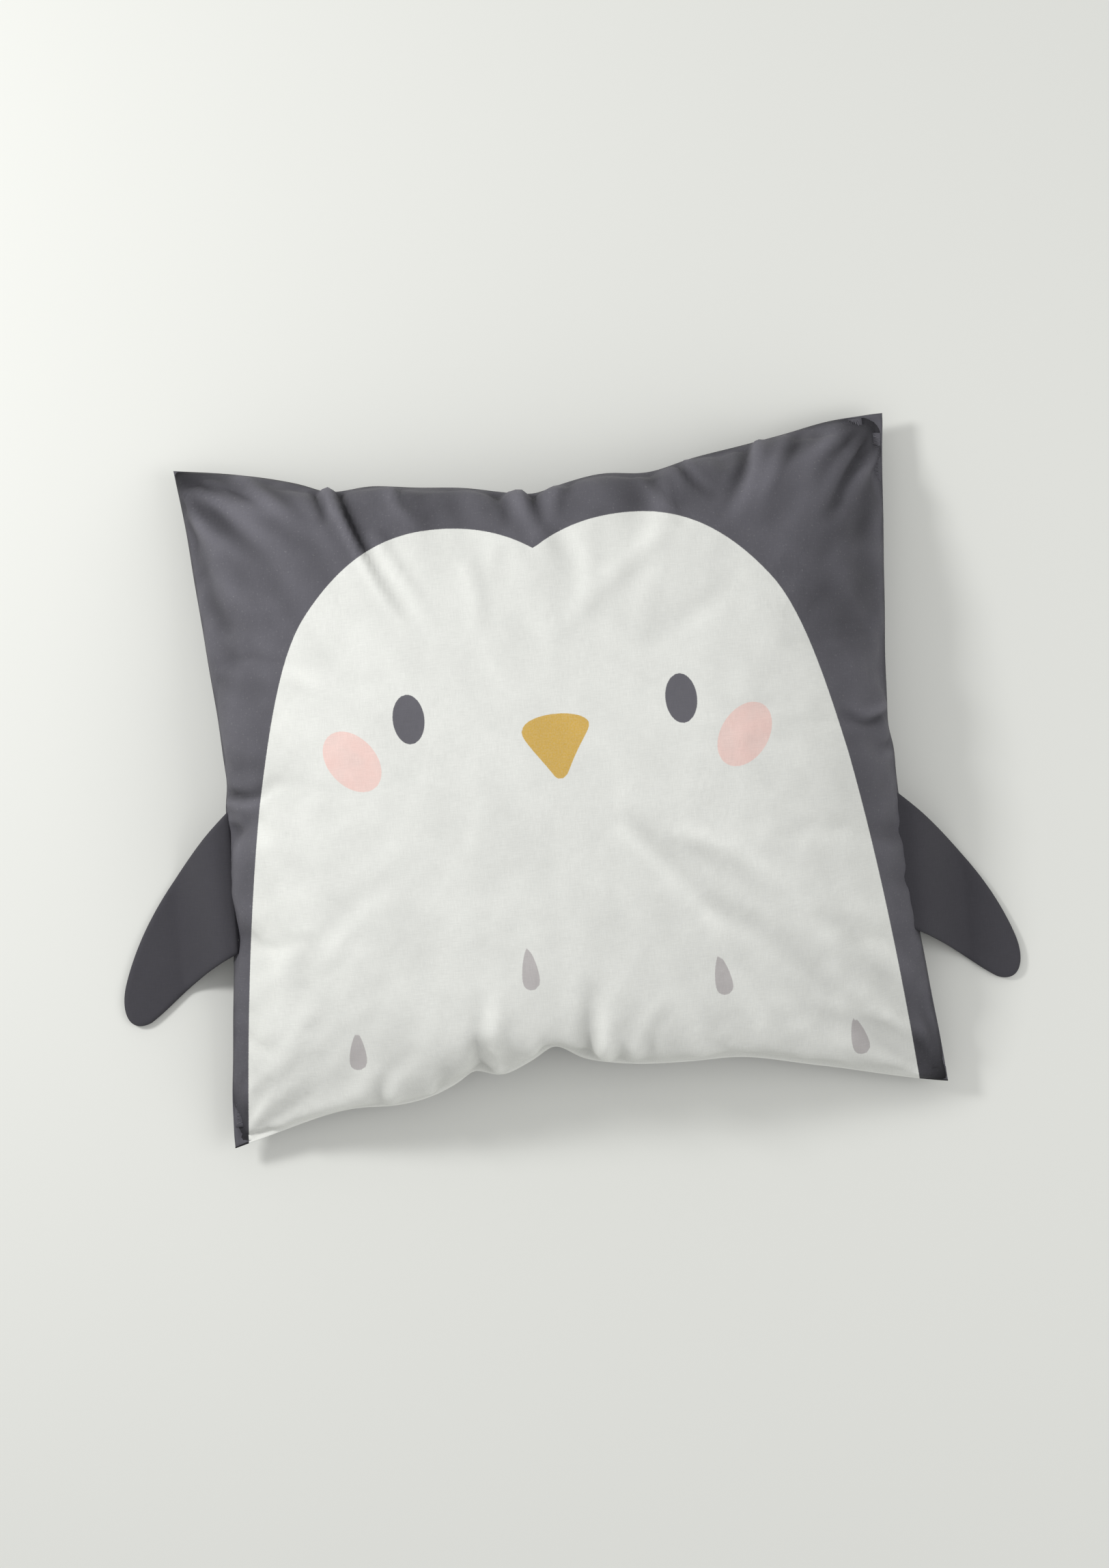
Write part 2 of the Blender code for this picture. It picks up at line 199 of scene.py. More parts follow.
def add_cloth_map(mesh, flat):
    """A UV map in metres of cut cloth, so that threads keep their size and follow the cloth."""
    layer = mesh.uv_layers.new(name="cloth")
    layer.data.foreach_set("uv", flat[corner_points(mesh)].astype(np.float32).ravel())


def points_of(piece):
    places = np.zeros(len(piece.data.vertices) * 3)
    piece.data.vertices.foreach_get("co", places)
    return places.reshape(-1, 3)


def normals_of(piece):
    directions = np.zeros(len(piece.data.vertices) * 3)
    piece.data.vertices.foreach_get("normal", directions)
    return directions.reshape(-1, 3)


def move_points(piece, places):
    piece.data.vertices.foreach_set("co", places.astype(np.float32).ravel())
    piece.data.update()


def cloth_places(piece):
    """Each point's place on the cut cloth."""
    mesh = piece.data
    flat = np.zeros(len(mesh.loops) * 2, np.float32)
    mesh.uv_layers["cloth"].data.foreach_get("uv", flat)
    places = np.zeros((len(mesh.vertices), 2))
    places[corner_points(mesh)] = flat.reshape(-1, 2)
    return places


def from_seams(piece):
    """How far each point of a case panel is from the nearest seam, along the cloth."""
    flat = np.abs(cloth_places(piece))
    return np.maximum(np.minimum(CASE_WIDTH / 2 - flat[:, 0], CASE_LENGTH / 2 - flat[:, 1]), 0.0)


def set_values(piece, name, values):
    """A number at each point, which a material reads as an attribute."""
    layer = piece.data.attributes.new(name, "FLOAT", "POINT")
    layer.data.foreach_set("value", values.astype(np.float32))


def grid_normals(grid):
    return unit(np.cross(np.gradient(grid, axis=0), np.gradient(grid, axis=1)))


def curve_through(points, values):
    """Places on a smooth curve through points, at values from -1 to 1 along its length."""
    knots = np.array(points, float)
    reach = reach_along(knots)
    reach = reach / reach[-1] * 2.0 - 1.0
    slopes = np.gradient(knots, reach, axis=0)
    k = np.clip(np.searchsorted(reach, values, side="right") - 1, 0, len(reach) - 2)
    span = (reach[k + 1] - reach[k])[:, None]
    x = (values - reach[k])[:, None] / span
    return (
        (2 * x**3 - 3 * x**2 + 1) * knots[k]
        + (x**3 - 2 * x**2 + x) * span * slopes[k]
        + (3 * x**2 - 2 * x**3) * knots[k + 1]
        + (x**3 - x**2) * span * slopes[k + 1]
    )


def smooth_noise(places, size, seed, stretch=(1.0, 1.0, 1.0)):
    """Soft noise from -1 to 1 at each place, with features of the given size."""
    shift = Vector((seed * 7.31, seed * 3.17, seed * 5.53))
    scale = np.array(stretch) / size
    return np.array([noise.noise(Vector(p) + shift) for p in (places * scale).tolist()])


def bump_curve(distance, width):
    """From 1 on a line to 0 a few widths away from it."""
    return np.exp(-((distance / width) ** 2))


# ---- The case's cloth, filled ----


def seam_height(u, v):
    """The height of the seams' level at values from -1 to 1 across and along the case."""
    return CORNER_HEIGHT + (SEAM_HEIGHT - CORNER_HEIGHT) * (1.0 - (u * v) ** 2)


def case_outline(values):
    """The four drawn-in edges as (x, y) at values from -1 to 1: left, right, mouth and top."""
    top = curve_through(TOP_EDGE_CM, values) / 100.0
    mouth = curve_through(MOUTH_EDGE_CM, values) / 100.0
    right_side = [MOUTH_EDGE_CM[-1], *SIDE_EDGE_CM, TOP_EDGE_CM[-1]]
    left_side = [MOUTH_EDGE_CM[0], *[(-x, y) for x, y in SIDE_EDGE_CM], TOP_EDGE_CM[0]]
    left = curve_through(left_side, values) / 100.0
    right = curve_through(right_side, values) / 100.0
    return left, right, mouth, top


def coarse_noise(rng, shape, knots):
    """Noise on a grid, from random values at a few knots with smooth steps between them."""
    values = rng.normal(size=(knots, knots))
    x = np.linspace(0, knots - 1, shape[0])
    y = np.linspace(0, knots - 1, shape[1])
    i = np.clip(x.astype(int), 0, knots - 2)
    j = np.clip(y.astype(int), 0, knots - 2)
    a = (x - i)[:, None]
    b = (y - j)[None, :]
    a = a * a * (3 - 2 * a)
    b = b * b * (3 - 2 * b)
    low = values[i][:, j] * (1 - a) + values[i + 1][:, j] * a
    high = values[i][:, j + 1] * (1 - a) + values[i + 1][:, j + 1] * a
    return low * (1 - b) + high * b


def add_settings(cloth):
    settings = cloth.settings
    settings.quality = 6
    settings.mass = 0.3 * (FULL_CELLS / CELLS) ** 2
    settings.tension_stiffness = 15.0
    settings.compression_stiffness = 15.0
    settings.shear_stiffness = 7.5
    settings.bending_stiffness = 0.08
    settings.air_damping = 2.0
    settings.use_pressure = True
    settings.uniform_pressure_force = PRESSURE
    settings.effector_weights.gravity = 0.3
    cloth.collision_settings.use_collision = True
    cloth.collision_settings.collision_quality = 2
    cloth.collision_settings.distance_min = 0.002
    cloth.point_cache.frame_start = 1
    cloth.point_cache.frame_end = FRAMES


def fill_case():
    """Joins two cut panels at their edges, draws the seams to the outline and fills them, as two grids."""
    count = CELLS + 1
    t = np.linspace(-1.0, 1.0, count)
    u, v = np.meshgrid(t, t, indexing="ij")
    rng = np.random.default_rng(4)
    dome = (1 - u**2) * (1 - v**2)
    front = np.stack([u * CASE_WIDTH / 2, v * CASE_LENGTH / 2, np.zeros_like(u)], -1)
    back = front.copy()
    front[..., 2] = SEAM_HEIGHT + 0.02 * dome + 0.0008 * coarse_noise(rng, u.shape, 14) * np.sqrt(dome)
    back[..., 2] = SEAM_HEIGHT - 0.02 * dome - 0.0008 * coarse_noise(rng, u.shape, 14) * np.sqrt(dome)
    inside = np.zeros((count, count), bool)
    inside[1:-1, 1:-1] = True
    front_index = np.arange(count * count).reshape(count, count)
    back_index = front_index.copy()
    back_index[inside] = count * count + np.arange(inside.sum())
    places = np.concatenate([front.reshape(-1, 3), back[inside]])
    faces = []
    for i in range(CELLS):
        for j in range(CELLS):
            corners = ((i, j), (i + 1, j), (i + 1, j + 1), (i, j + 1))
            faces.append([int(front_index[c]) for c in corners])
            faces.append([int(back_index[c]) for c in reversed(corners)])
    mesh = bpy.data.meshes.new("filling")
    mesh.from_pydata(places.tolist(), [], faces)
    bag = link("filling", mesh)

    left, right, mouth, top = case_outline(t)
    drawn = places.copy()
    panel = drawn[: count * count].reshape(count, count, 3)
    panel[0, :, :2] = left
    panel[-1, :, :2] = right
    panel[:, 0, :2] = mouth
    panel[:, -1, :2] = top
    panel[~inside, 2] = seam_height(u, v)[~inside]
    bag.shape_key_add(name="cut")
    key = bag.shape_key_add(name="drawn_in")
    key.data.foreach_set("co", drawn.astype(np.float32).ravel())
    key.value = 0.0
    key.keyframe_insert("value", frame=1)
    key.value = 1.0
    key.keyframe_insert("value", frame=DRAW_IN_FRAMES)
    seams = bag.vertex_groups.new(name="seams")
    seams.add([int(i) for i in front_index[~inside]], 1.0, "REPLACE")
    behind = bag.vertex_groups.new(name="behind")
    behind.add([int(i) for i in back_index[inside]], 1.0, "REPLACE")

    make_active(bag)
    deselect_all()
    bpy.ops.mesh.primitive_plane_add(size=2.0, location=(0, 0, 0))
    table = bpy.context.object
    table.modifiers.new("touch", "COLLISION")
    table.collision.thickness_outer = 0.002
    table.collision.cloth_friction = 5.0
    cloth = bag.modifiers.new("cloth", "CLOTH")
    add_settings(cloth)
    cloth.settings.vertex_group_mass = "seams"
    cloth.settings.vertex_group_shrink = "behind"
    cloth.settings.shrink_min = -SPARE_CLOTH
    cloth.settings.shrink_max = -SPARE_CLOTH_BEHIND
    for step in range(1, FRAMES + 1):
        bpy.context.scene.frame_set(step)
    shape = bag.evaluated_get(bpy.context.evaluated_depsgraph_get())
    final = np.zeros(len(shape.data.vertices) * 3)
    shape.data.vertices.foreach_get("co", final)
    final = final.reshape(-1, 3)
    bpy.data.objects.remove(bag)
    bpy.data.objects.remove(table)
    bpy.context.scene.frame_set(1)
    return final[front_index], final[back_index]


front_grid, back_grid = fill_case()
lowest = back_grid[..., 2].min()
for grid in (front_grid, back_grid):
    grid[..., 2] -= lowest
steps = np.linspace(-1.0, 1.0, CELLS + 1)
across, along = np.meshgrid(steps, steps, indexing="ij")
flat_cloth = np.stack([across * CASE_WIDTH / 2, along * CASE_LENGTH / 2], -1)


def nearest_on(places, outline):
    """The distance from each place to a closed outline, below zero outside it, and the way inwards."""
    distance = np.full(len(places), 1e9)
    inward = np.zeros_like(places)
    inside = np.zeros(len(places), bool)
    for a, b in zip(outline, np.roll(outline, -1, axis=0)):
        edge = b - a
        length = max(np.linalg.norm(edge), 1e-9)
        s = np.clip(((places - a) @ edge) / length**2, 0.0, 1.0)
        gap = np.linalg.norm(places - a - s[:, None] * edge, axis=1)
        closer = gap < distance
        distance[closer] = gap[closer]
        inward[closer] = np.array([-edge[1], edge[0]]) / length
        if a[1] != b[1]:
            crossing = a[0] + (places[:, 1] - a[1]) / (b[1] - a[1]) * edge[0]
            inside ^= ((a[1] > places[:, 1]) != (b[1] > places[:, 1])) & (places[:, 0] < crossing)
    return np.where(inside, distance, -distance), inward


def keep_inside(grid, lean):
    """Moves a panel's points in from the seams, so that the seams stay outermost all the way round."""
    rim = np.concatenate([grid[:-1, 0], grid[-1, :-1], grid[:0:-1, -1], grid[0, :0:-1]])[:, :2]
    spots = grid[..., :2].reshape(-1, 2)
    distance, inward = nearest_on(spots, rim)
    count = np.arange(CELLS + 1)
    ring = np.minimum(count, CELLS - count)
    rows = np.minimum(ring[:, None], ring[None, :]).reshape(-1) * CASE_LENGTH / CELLS
    least = lean * rows * np.clip(1.0 - rows / 0.12, 0.0, 1.0)
    over = (distance - least) / 0.002
    wanted = least + 0.002 * np.log1p(np.exp(np.clip(over, -40, 40)))
    share = np.clip(rows / 0.007, 0.0, 1.0) * (rows < 0.12)
    push = np.where(over < 20, (wanted - distance) * share, 0.0)
    grid[..., :2] += (inward * push[:, None]).reshape(grid[..., :2].shape)


keep_inside(front_grid, 0.22)
keep_inside(back_grid, 0.30)


# ---- Creases laid in ----

# Each is a route on the front in centimetres, its depth and width in millimetres, and the side of its raised
# lip. A depth below zero makes a ridge.
CREASES = [
    ([(-17.0, 27.0), (-16.0, 24.0), (-14.6, 20.6), (-12.8, 16.8), (-11.0, 13.9)], 9.0, 4.8, 1),
    ([(-14.2, 22.0), (-11.8, 17.4), (-9.4, 12.8)], -3.6, 6.5, -1),
    ([(-19.0, 26.8), (-18.2, 24.6), (-17.8, 23.0)], 5.0, 4.5, -1),
    ([(-11.6, 26.4), (-11.0, 24.4), (-9.2, 22.8)], 3.0, 5.0, 1),
    ([(-0.2, 25.2), (0.1, 23.2), (0.9, 20.4)], 6.5, 6.5, 1),
    ([(-3.4, 25.6), (-2.6, 23.4), (-2.0, 20.8)], 4.0, 6.0, -1),
    ([(3.4, 25.4), (2.4, 23.4), (2.2, 21.6)], 3.5, 6.0, 1),
    ([(1.2, 21.0), (2.4, 17.6), (2.6, 14.2)], 2.4, 9.0, -1),
    ([(-2.2, 20.4), (-3.6, 16.0)], 2.0, 8.0, 1),
    ([(20.0, 27.6), (18.6, 23.8), (16.2, 19.9)], -7.5, 6.5, 1),
    ([(12.4, 26.4), (13.6, 24.2), (15.4, 22.4)], 4.5, 4.5, -1),
    ([(10.0, 25.6), (10.8, 23.6), (12.6, 22.0)], 2.6, 6.0, 1),
    ([(30.4, 27.8), (27.4, 24.4), (24.6, 19.6)], 8.5, 7.5, -1),
    ([(30.5, 25.0), (28.6, 20.6), (27.2, 15.0)], 2.4, 8.5, -1),
    ([(27.4, 28.6), (24.2, 25.0), (21.8, 21.4)], -4.5, 8.0, -1),
    ([(23.6, 28.2), (21.8, 25.0), (19.6, 21.0)], 4.0, 6.5, 1),
    ([(-30.8, 29.0), (-26.5, 27.4), (-21.6, 25.6)], 5.5, 7.0, 1),
    ([(-29.2, 27.0), (-24.5, 22.2), (-21.0, 17.6)], 4.2, 8.0, 1),
    ([(-30.6, 26.6), (-28.6, 19.0), (-26.6, 11.4)], 3.4, 9.0, 1),
    ([(-27.4, 28.8), (-23.4, 25.0), (-20.2, 20.8)], 4.0, 7.0, -1),
    ([(-24.0, 28.2), (-20.6, 25.4), (-18.6, 22.8)], 3.6, 6.0, 1),
    ([(28.9, 3.0), (26.6, 2.4), (24.0, 3.6)], 5.0, 5.0, 1),
    ([(29.2, 0.6), (27.0, 0.0)], 3.0, 5.0, -1),
    ([(-29.1, 1.4), (-26.4, 0.9), (-23.4, 2.2)], 5.0, 5.0, 1),
    ([(-29.3, -1.6), (-27.2, -2.2)], 2.8, 5.0, -1),
    ([(-8.8, -25.6), (-9.0, -21.6), (-8.2, -17.2)], 7.5, 8.5, 1),
    ([(-12.8, -26.6), (-11.6, -23.4)], 3.0, 6.0, -1),
    ([(0.2, -24.6), (0.5, -21.4), (1.3, -17.0)], 7.5, 8.5, 1),
    ([(-3.6, -24.0), (-3.2, -21.4)], 2.5, 5.0, -1),
    ([(3.0, -25.4), (3.2, -22.6)], 3.0, 5.0, -1),
    ([(5.2, -25.2), (6.2, -22.0), (8.6, -19.4)], 2.6, 7.0, -1),
    ([(-18.4, -27.0), (-17.0, -23.8), (-14.0, -21.4)], 3.0, 7.0, 1),
    ([(9.0, -6.4), (13.4, -8.6), (18.6, -13.2)], 3.8, 9.0, -1),
    ([(11.8, -11.4), (16.6, -14.6), (21.2, -18.8)], 3.4, 9.0, 1),
    ([(5.6, -3.6), (10.5, -9.4), (15.4, -15.8)], 3.4, 8.5, 1),
    ([(11.6, 19.4), (6.0, 15.0), (0.4, 10.2)], 2.8, 9.0, 1),
    ([(16.0, 15.4), (10.5, 12.0), (6.0, 9.4)], 1.7, 8.5, -1),
    ([(-5.0, 19.4), (-4.6, 15.6), (-5.2, 11.6)], 2.6, 8.0, 1),
    ([(26.6, -24.4), (20.6, -22.4), (14.6, -21.8)], 1.8, 7.5, 1),
    ([(-24.0, -14.4), (-19.4, -9.6), (-13.0, -6.0)], 2.4, 9.0, 1),
    ([(-21.4, 13.0), (-17.8, 10.4), (-14.6, 9.6)], 1.4, 10.0, 1),
    ([(28.6, -26.4), (22.6, -21.4), (18.4, -16.4)], 3.4, 9.0, 1),
    ([(-29.4, -26.8), (-23.6, -20.8), (-20.4, -15.8)], 3.4, 9.0, -1),
]


def route_distance(places, route):
    """How far each place lies from a route, on which side, how far along it, and the way to it."""
    best = np.full(len(places), 1e9)
    side = np.zeros(len(places))
    share = np.zeros(len(places))
    away = np.zeros_like(places)
    lengths = np.linalg.norm(np.diff(route, axis=0), axis=1)
    total = lengths.sum()
    run = 0.0
    for a, b, length in zip(route[:-1], route[1:], lengths):
        along_it = (b - a) / length
        s = np.clip((places - a) @ along_it, 0.0, length)
        gap = places - (a + s[:, None] * along_it)
        distance = np.linalg.norm(gap, axis=1)
        closer = distance < best
        best[closer] = distance[closer]
        turned = gap[:, 0] * along_it[1] - gap[:, 1] * along_it[0]
        side[closer] = np.sign(turned[closer])
        share[closer] = (run + s[closer]) / total
        away[closer] = gap[closer]
        run += length
    return best, side, share, away


def lay_creases(places, normals, loose):
    """Presses every crease into the front: a valley, a raised lip on one side, and cloth drawn towards it."""
    plan = places[:, :2].copy()
    moved = places.copy()
    for route_cm, depth_mm, width_mm, lip in CREASES:
        route = curve_through(np.array(route_cm) / 100.0, np.linspace(-1, 1, 14))
        distance, side, share, away = route_distance(plan, route)
        width = width_mm / 1000.0
        depth = depth_mm / 1000.0
        near = distance < 4.5 * width
        fade = np.clip(share, 0, 1)
        fade = np.minimum(1.0, 4.0 * fade + 0.35) * (1.0 - fade) ** 0.8
        ends = np.where((share <= 0) | (share >= 1), bump_curve(distance, width), 1.0)
        strength = fade * ends * near * loose
        signed = distance * side * lip
        press = -bump_curve(distance, width) + 0.75 * bump_curve(signed - 1.7 * width, 0.85 * width)
        moved += normals * (press * depth * strength)[:, None]
        pull = bump_curve(distance, 1.4 * width) * strength * max(depth, 0.0) / width * 0.35
        moved[:, :2] -= away * pull[:, None]
    return moved


# How far from the middle the gathers start: at the top, the mouth, the sides and the corners.
TOP_REACH = 0.262
MOUTH_REACH = 0.258
SIDE_REACH = 0.292
CORNER_ACROSS = 0.311
CORNER_ALONG = 0.296


def gathers(places, seed):
    """Folds that start where the cloth is drawn in: across each seam and out of each corner."""
    x, y = places[:, 0], places[:, 1]
    height = np.zeros(len(places))
    edges = (
        (x, TOP_REACH - y, 0.0060),
        (x, y + MOUTH_REACH, 0.0030),
        (y, SIDE_REACH - x, 0.0036),
        (y, x + SIDE_REACH, 0.0036),
    )
    for k, (along, depth, rise) in enumerate(edges):
        depth = np.maximum(depth, 0.0)
        radial = along / np.maximum(1.0 - depth / 0.42, 0.25)
        spots = np.stack([radial / 0.024, depth / 0.20, np.full_like(depth, 3.0 * k)], -1)
        ridge = smooth_noise(spots, 1.0, seed + k)
        start = 1.0 - np.exp(-depth / 0.010)
        height += rise * ridge * start * np.exp(-depth / 0.062)
    for k, (across, up) in enumerate(((-1, 1), (1, 1), (-1, -1), (1, -1))):
        dx = CORNER_ACROSS * across - x
        dy = CORNER_ALONG * up - y
        reach = np.hypot(dx, dy)
        turn = np.arctan2(dy * up, dx * across)
        spots = np.stack([turn / 0.20, reach / 0.30, np.full_like(turn, 5.0 * k)], -1)
        ridge = smooth_noise(spots, 1.0, seed + 10 + k)
        height += 0.0072 * ridge * np.clip(reach / 0.05, 0.0, 1.0) * np.exp(-reach / 0.11)
    return height


def crumple(places, normals, strength, seed=0):
    """The handling marks of worn cotton: low ridges a few centimetres long, finer ones, and the gathers."""
    broad = smooth_noise(places, 0.052, seed + 1, (1.0, 0.6, 1.0))
    fine = smooth_noise(places, 0.017, seed + 2, (0.8, 1.0, 1.0))
    patch = 0.5 + 0.5 * smooth_noise(places, 0.14, seed + 3)
    ridged = 0.4 - np.abs(broad)
    height = (0.0024 * ridged + 0.0010 * fine * patch + gathers(places, seed + 20)) * strength
    return places + normals * height[:, None]


# ---- The printed penguin, as distances from each printed outline ----


def curve_stretch(a, b, c, d, count=14):
    t = np.linspace(0.0, 1.0, count, endpoint=False)[:, None]
    s = 1.0 - t
    a, b, c, d = (np.array(p, float) for p in (a, b, c, d))
    return a * s**3 + 3 * b * s * s * t + 3 * c * s * t * t + d * t**3


def outline_of(*stretches):
    return np.concatenate([curve_stretch(*stretch) for stretch in stretches]) / 100.0


def ellipse(half_across, half_along, count=48):
    turn = np.linspace(0, 2 * math.pi, count, endpoint=False)
    return np.stack([half_across * np.cos(turn), half_along * np.sin(turn)], -1) / 100.0


def placed(outline, x_cm, y_cm, turn_deg=0.0):
    c = math.cos(math.radians(turn_deg))
    s = math.sin(math.radians(turn_deg))
    return outline @ np.array([[c, s], [-s, c]]) + np.array([x_cm, y_cm]) / 100.0


def face_outline():
    half = outline_of(
        ((0, 20.0), (3.0, 22.0), (6.0, 22.4), (8.5, 22.4)),
        ((8.5, 22.4), (14.0, 22.4), (17.5, 19.4), (20.2, 16.0)),
        ((20.2, 16.0), (22.8, 12.8), (24.3, 6.0), (25.6, 0)),
        ((25.6, 0), (27.3, -9.0), (28.6, -20.0), (29.5, -33.0)),
    )
    mirrored = half[:0:-1] * (-1.0, 1.0)
    return np.concatenate([half, mirrored]) + (-0.005, 0.0)


def beak_outline():
    return outline_of(
        ((-2.95, 4.25), (-2.75, 5.95), (2.75, 5.95), (2.98, 4.45)),
        ((2.98, 4.45), (2.98, 3.9), (2.0, 3.0), (0.75, 0.35)),
        ((0.75, 0.35), (0.45, -0.25), (-0.25, -0.25), (-0.5, 0.25)),
        ((-0.5, 0.25), (-1.5, 1.8), (-3.1, 3.6), (-2.95, 4.25)),
    )


def mark_outline(length=1.0):
    drop = outline_of(
        ((0, 1.85), (0.35, 1.55), (0.84, 0), (0.74, -0.85)),
        ((0.74, -0.85), (0.65, -1.65), (-0.65, -1.65), (-0.74, -0.85)),
        ((-0.74, -0.85), (-0.84, 0), (-0.35, 1.55), (0, 1.85)),
    )
    return drop * (1.0, length)


EYE = ellipse(1.38, 2.17)
CHEEK = ellipse(2.07, 3.03)

PRINT = {
    "face_edge": [face_outline()],
    "eye_edge": [placed(EYE, -12.6, 6.2, 2), placed(EYE, 11.1, 5.9, 2)],
    "cheek_edge": [placed(CHEEK, -17.8, 3.0, 37.5), placed(CHEEK, 16.3, 2.3, -36.7)],
    "beak_edge": [beak_outline()],
    "mark_edge": [
        placed(mark_outline(), -19.6, -22.2, -2),
        placed(mark_outline(1.14), -4.1, -16.5, 2),
        placed(mark_outline(1.08), 12.5, -18.5, 6),
        placed(mark_outline(), 23.8, -24.8, 10),
    ],
}


def distance_inside(places, outline):
    """How far each place lies inside an outline, and below zero outside it."""
    return nearest_on(places, outline)[0]


def print_penguin(piece, plan):
    """Gives each point its distance inside every printed outline. plan is where the eye sees it."""
    for name, outlines in PRINT.items():
        values = np.max([distance_inside(plan, outline) for outline in outlines], axis=0)
        set_values(piece, name, values)


# ---- Materials ----

# The distance between threads, how far they stand out, and half the width over which a printed edge fades.
THREAD_PITCH = 0.0007
WEAVE_RELIEF_MM = 0.12
HALF_EDGE = 0.00025


def new_group(name, inputs, outputs):
    group = bpy.data.node_groups.new(name, "ShaderNodeTree")
    for label, kind, value in inputs:
        socket = group.interface.new_socket(name=label, in_out="INPUT", socket_type=kind)
        if value is not None:
            socket.default_value = value
    for label, kind in outputs:
        group.interface.new_socket(name=label, in_out="OUTPUT", socket_type=kind)
    return group


class Wiring:
    """Short hands for adding nodes and joining them."""

    def __init__(self, tree):
        self.tree = tree

    def node(self, kind, **settings):
        made = self.tree.nodes.new(kind)
        for key, value in settings.items():
            setattr(made, key, value)
        return made

    def plug(self, socket, value):
        if isinstance(value, bpy.types.NodeSocket):
            self.tree.links.new(value, socket)
        else:
            socket.default_value = value

    def sum(self, operation, a, b=0.0, c=0.0):
        made = self.node("ShaderNodeMath", operation=operation)
        for socket, value in zip(made.inputs, (a, b, c)):
            self.plug(socket, value)
        return made.outputs[0]

    def ramp(self, value, low, high, to_low=0.0, to_high=1.0):
        made = self.node("ShaderNodeMapRange", clamp=True)
        for socket, number in zip(made.inputs, (value, low, high, to_low, to_high)):
            self.plug(socket, number)
        return made.outputs[0]

    def mix(self, factor, a, b, blend="MIX"):
        made = self.node("ShaderNodeMix", data_type="RGBA", blend_type=blend)
        self.plug(made.inputs["Factor"], factor)
        self.plug(made.inputs[6], a)
        self.plug(made.inputs[7], b)
        return made.outputs[2]

    def noise(self, vector, scale, detail=2.0, roughness=0.5):
        made = self.node("ShaderNodeTexNoise")
        self.plug(made.inputs["Vector"], vector)
        self.plug(made.inputs["Scale"], scale)
        self.plug(made.inputs["Detail"], detail)
        self.plug(made.inputs["Roughness"], roughness)
        return made.outputs["Fac"]

    def stretched(self, vector, scale):
        made = self.node("ShaderNodeMapping")
        self.plug(made.inputs["Vector"], vector)
        self.plug(made.inputs["Scale"], scale)
        return made.outputs[0]

    def grey(self, level):
        made = self.node("ShaderNodeCombineColor")
        for socket in made.inputs[:3]:
            self.plug(socket, level)
        return made.outputs[0]

    def attribute(self, name):
        return self.node("ShaderNodeAttribute", attribute_name=name).outputs["Fac"]


def colour(r, g, b):
    """A colour from its eight-bit screen values."""
    linear = []
    for value in (r, g, b):
        share = value / 255.0
        linear.append(share / 12.92 if share <= 0.04045 else ((share + 0.055) / 1.055) ** 2.4)
    return (*linear, 1.0)


def make_weave_group():
    """Plain woven cotton: threads over and under, thick places along them, fluff and handling marks."""
    group = new_group(
        "plain_weave",
        [
            ("Place", "NodeSocketVector", None),
            ("Color", "NodeSocketColor", (0.8, 0.8, 0.8, 1.0)),
            ("Pitch", "NodeSocketFloat", THREAD_PITCH),
            ("Mottle", "NodeSocketFloat", 0.1),
        ],
        [("Color", "NodeSocketColor"), ("Height", "NodeSocketFloat"), ("Roughness", "NodeSocketFloat")],
    )
    w = Wiring(group)
    inputs = w.node("NodeGroupInput").outputs
    outputs = w.node("NodeGroupOutput")
    place = inputs["Place"]
    axes = w.node("ShaderNodeSeparateXYZ")
    w.plug(axes.inputs[0], place)
    wobble = w.sum("MULTIPLY", w.sum("SUBTRACT", w.noise(place, 260.0, 1.0), 0.5), 0.0006)
    rate = w.sum("DIVIDE", math.pi, inputs["Pitch"])
    warp = w.sum("SINE", w.sum("MULTIPLY", w.sum("ADD", axes.outputs[0], wobble), rate))
    weft = w.sum("SINE", w.sum("MULTIPLY", w.sum("ADD", axes.outputs[1], wobble), rate))
    over = w.sum("MULTIPLY", warp, weft)
    threads = w.sum("ABSOLUTE", over)
    slub_across = w.noise(w.stretched(place, (90.0, 1500.0, 1.0)), 1.0, 2.0)
    slub_along = w.noise(w.stretched(place, (1500.0, 90.0, 1.0)), 1.0, 2.0)
    slubs = w.sum("ADD", slub_across, slub_along)
    cloudy = w.noise(place, 28.0, 4.0, 0.6)
    height = w.sum("MULTIPLY_ADD", slubs, 0.6, w.sum("MULTIPLY", threads, 0.5))
    shade = w.ramp(slubs, 0.6, 1.4, 0.93, 1.06)
    tone = w.sum("MULTIPLY_ADD", w.sum("SUBTRACT", cloudy, 0.5), inputs["Mottle"], 1.0)
    # Painted shade and highlight: the gaps between threads are darkened a little and the thread crowns
    # lightened a little.
    level = w.sum("MULTIPLY", w.sum("MULTIPLY", shade, tone), w.ramp(threads, 0.0, 1.0, 0.95, 1.03))
    w.plug(outputs.inputs["Color"], w.mix(1.0, inputs["Color"], w.grey(level), "MULTIPLY"))
    w.plug(outputs.inputs["Height"], height)
    w.plug(outputs.inputs["Roughness"], w.ramp(cloudy, 0.3, 0.7, 0.82, 0.96))
    return group


